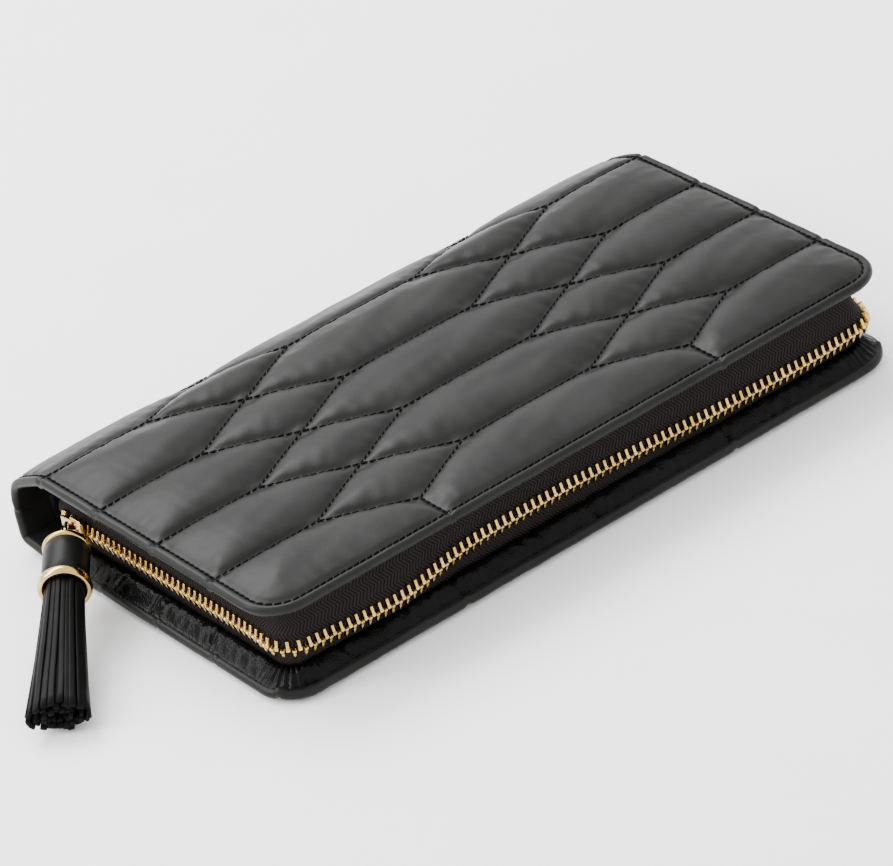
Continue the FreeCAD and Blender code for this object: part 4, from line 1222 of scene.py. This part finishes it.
def make_ring_rolls():
    """Padded suede rolls, full in the middle and pulled in at their sewn ends."""
    low, high = mm_box("ring_rolls")
    span = high.x - low.x
    first = low.y + ROLL_RADIUS
    bm = bmesh.new()
    for index in range(ROLL_COUNT):
        y = first + index * ROLL_PITCH
        across = Matrix.Rotation(math.pi / 2, 4, "Y")
        place = Matrix.Translation(((low.x + high.x) / 2, y, low.z)) @ across
        bmesh.ops.create_cone(
            bm, cap_ends=True, cap_tris=False, segments=ROLL_SIDES, radius1=ROLL_RADIUS, radius2=ROLL_RADIUS,
            depth=span, matrix=place,
        )
        ends = [f for f in bm.faces if len(f.verts) == ROLL_SIDES][-2:]
        lengthwise = [e for e in bm.edges if abs(e.verts[0].co.x - e.verts[1].co.x) > span / 2]
        bmesh.ops.subdivide_edges(bm, edges=lengthwise, cuts=ROLL_CUTS)
        bmesh.ops.inset_individual(bm, faces=ends, thickness=ROLL_END_INSET)
    for vert in bm.verts:
        index = round((vert.co.y - first) / ROLL_PITCH)
        y = first + index * ROLL_PITCH
        share = abs(vert.co.x - (low.x + high.x) / 2) / (span / 2)
        full = math.sqrt(max(0.0, 1 - max(0.0, (share - 0.9) / 0.1) ** 2 * 0.55))
        swell = 1 + 0.03 * noise.noise((vert.co.x / 12.0, index * 5.0, vert.co.z / 9.0))
        local_y = (vert.co.y - y) * full * swell
        local_z = (vert.co.z - low.z) * full * swell * ROLL_STRETCH + ROLL_LIFT
        vert.co.y = y + max(-ROLL_TOUCH, min(ROLL_TOUCH, local_y))
        vert.co.z = low.z + max(0.05, local_z)
    rolls = piece_from(bm, "padded_ring_rolls", SUEDE)
    dress(rolls, "base", "ring_rolls")


def make_lid_pocket():
    """A slip pocket with a bound mouth, slightly full, sewn to the lid's lining."""
    low, high = mm_box("slip_pocket")
    bm = bmesh.new()
    bmesh.ops.create_grid(bm, x_segments=POCKET_COLUMNS, y_segments=POCKET_ROWS, size=1.0)
    for vert in bm.verts:
        a = vert.co.x
        b = (vert.co.y + 1) / 2
        edge = 1 - abs(a) ** 8
        full = edge * (1 - (1 - b) ** 6)
        x = (low.x + high.x) / 2 + a * (high.x - low.x) / 2
        y = low.y + b * (high.y - low.y)
        sag = full * (POCKET_FULLNESS + POCKET_RUMPLE * noise.noise((x / 30.0, y / 18.0, 2.0)))
        vert.co = Vector((x, y, high.z - POCKET_START - sag))
    bmesh.ops.solidify(bm, geom=list(bm.faces), thickness=POCKET_THICKNESS)
    pocket = piece_from(bm, "lid_slip_pocket", SUEDE)
    dress(pocket, "lid", "slip_pocket")
    low, high = mm_box("pocket_binding")
    bm = bmesh.new()
    block(bm, (low.x, low.y, low.z - 0.1), (high.x, high.y + 0.3, high.z + 0.2))
    soften(bm, 0.45, 3)
    binding = piece_from(bm, "pocket_leather_binding", CRINKLED_LEATHER)
    dress(binding, "lid", "pocket_binding")


def make_necklace_strip():
    """A padded strip with tabs that close on snaps."""
    low, high = mm_box("necklace_strip")
    bm = bmesh.new()
    block(bm, low, high)
    soften(bm, SUEDE_EDGE, 3)
    dress(piece_from(bm, "necklace_suede_strip", SUEDE), "lid", "necklace_strip")
    low, high = mm_box("necklace_tabs")
    tab_places = [(index - TAB_COUNT // 2) * TAB_PITCH for index in range(TAB_COUNT)]
    bm = bmesh.new()
    for x in tab_places:
        block(bm, (x - TAB_WIDTH / 2, low.y, low.z), (x + TAB_WIDTH / 2, high.y, high.z))
    loose = [e for e in upright_edges(bm) if e.verts[0].co.y < low.y + 1]
    soften(bm, TAB_CORNER, 5, loose)
    soften(bm, 0.25, 1, [e for e in bm.edges if e.calc_face_angle(0) > 1.2])
    tabs = piece_from(bm, "necklace_leather_tabs", CRINKLED_LEATHER, smooth=False)
    dress(tabs, "lid", "necklace_tabs")
    low, high = mm_box("necklace_snaps")
    bm = bmesh.new()
    for x in tab_places:
        place = Matrix.Translation((x, (low.y + high.y) / 2, (low.z + high.z) / 2))
        bmesh.ops.create_cone(
            bm, cap_ends=True, segments=24, radius1=SNAP_FOOT, radius2=SNAP_TOP,
            depth=high.z - low.z, matrix=place,
        )
    soften(bm, 0.3, 2, [e for e in bm.edges if e.calc_face_angle(0) > 0.6])
    dress(piece_from(bm, "necklace_gold_snaps", GOLD), "lid", "necklace_snaps")


make_linings()
make_tray()
make_ring_rolls()
make_lid_pocket()
make_necklace_strip()


# Floor, light and camera


def make_floor():
    bm = bmesh.new()
    bmesh.ops.create_grid(bm, x_segments=2, y_segments=2, size=4000.0)
    bmesh.ops.translate(bm, verts=bm.verts, vec=(0, 0, -0.05))
    finish, tree, shader = new_finish("pale_floor", (0.95, 0.95, 0.95), 0.8)
    speckle = noise_of(tree, object_places(tree), 30.0, 2.0)
    feed(shader, Base_Color=ramp_of(tree, speckle, 0.3, 0.7, (0.94, 0.94, 0.94), (0.96, 0.96, 0.96)))
    floor = piece_from(bm, "studio_floor", finish, outward=False)


def soft_light(name, place, aim, size, power):
    lamp = bpy.data.lights.new(name, "AREA")
    lamp.shape = "RECTANGLE"
    lamp.size = size[0]
    lamp.size_y = size[1]
    lamp.energy = power
    holder = bpy.data.objects.new(name, lamp)
    holder.location = place
    way = Vector(aim) - Vector(place)
    holder.rotation_euler = way.to_track_quat("-Z", "Y").to_euler()
    bpy.context.scene.collection.objects.link(holder)


def make_light():
    world = bpy.data.worlds.new("studio_world")
    world.use_nodes = True
    world.node_tree.nodes["Background"].inputs["Color"].default_value = (1.0, 1.0, 1.0, 1.0)
    world.node_tree.nodes["Background"].inputs["Strength"].default_value = WORLD_STRENGTH
    bpy.context.scene.world = world
    soft_light("back_panel", **BACK_PANEL)
    soft_light("left_panel", **LEFT_PANEL)


def make_camera():
    lens = bpy.data.cameras.new("photo_camera")
    lens.sensor_width = SENSOR_WIDTH
    lens.sensor_fit = "HORIZONTAL"
    lens.lens = FOCAL_LENGTH
    lens.clip_end = 50.0
    holder = bpy.data.objects.new("photo_camera", lens)
    turn = Matrix((CAMERA_RIGHT, -CAMERA_DOWN, -CAMERA_AHEAD)).transposed().to_4x4()
    holder.matrix_world = Matrix.Translation(CAMERA_PLACE * MM) @ turn
    bpy.context.scene.collection.objects.link(holder)
    bpy.context.scene.camera = holder


make_floor()
make_light()
make_camera()
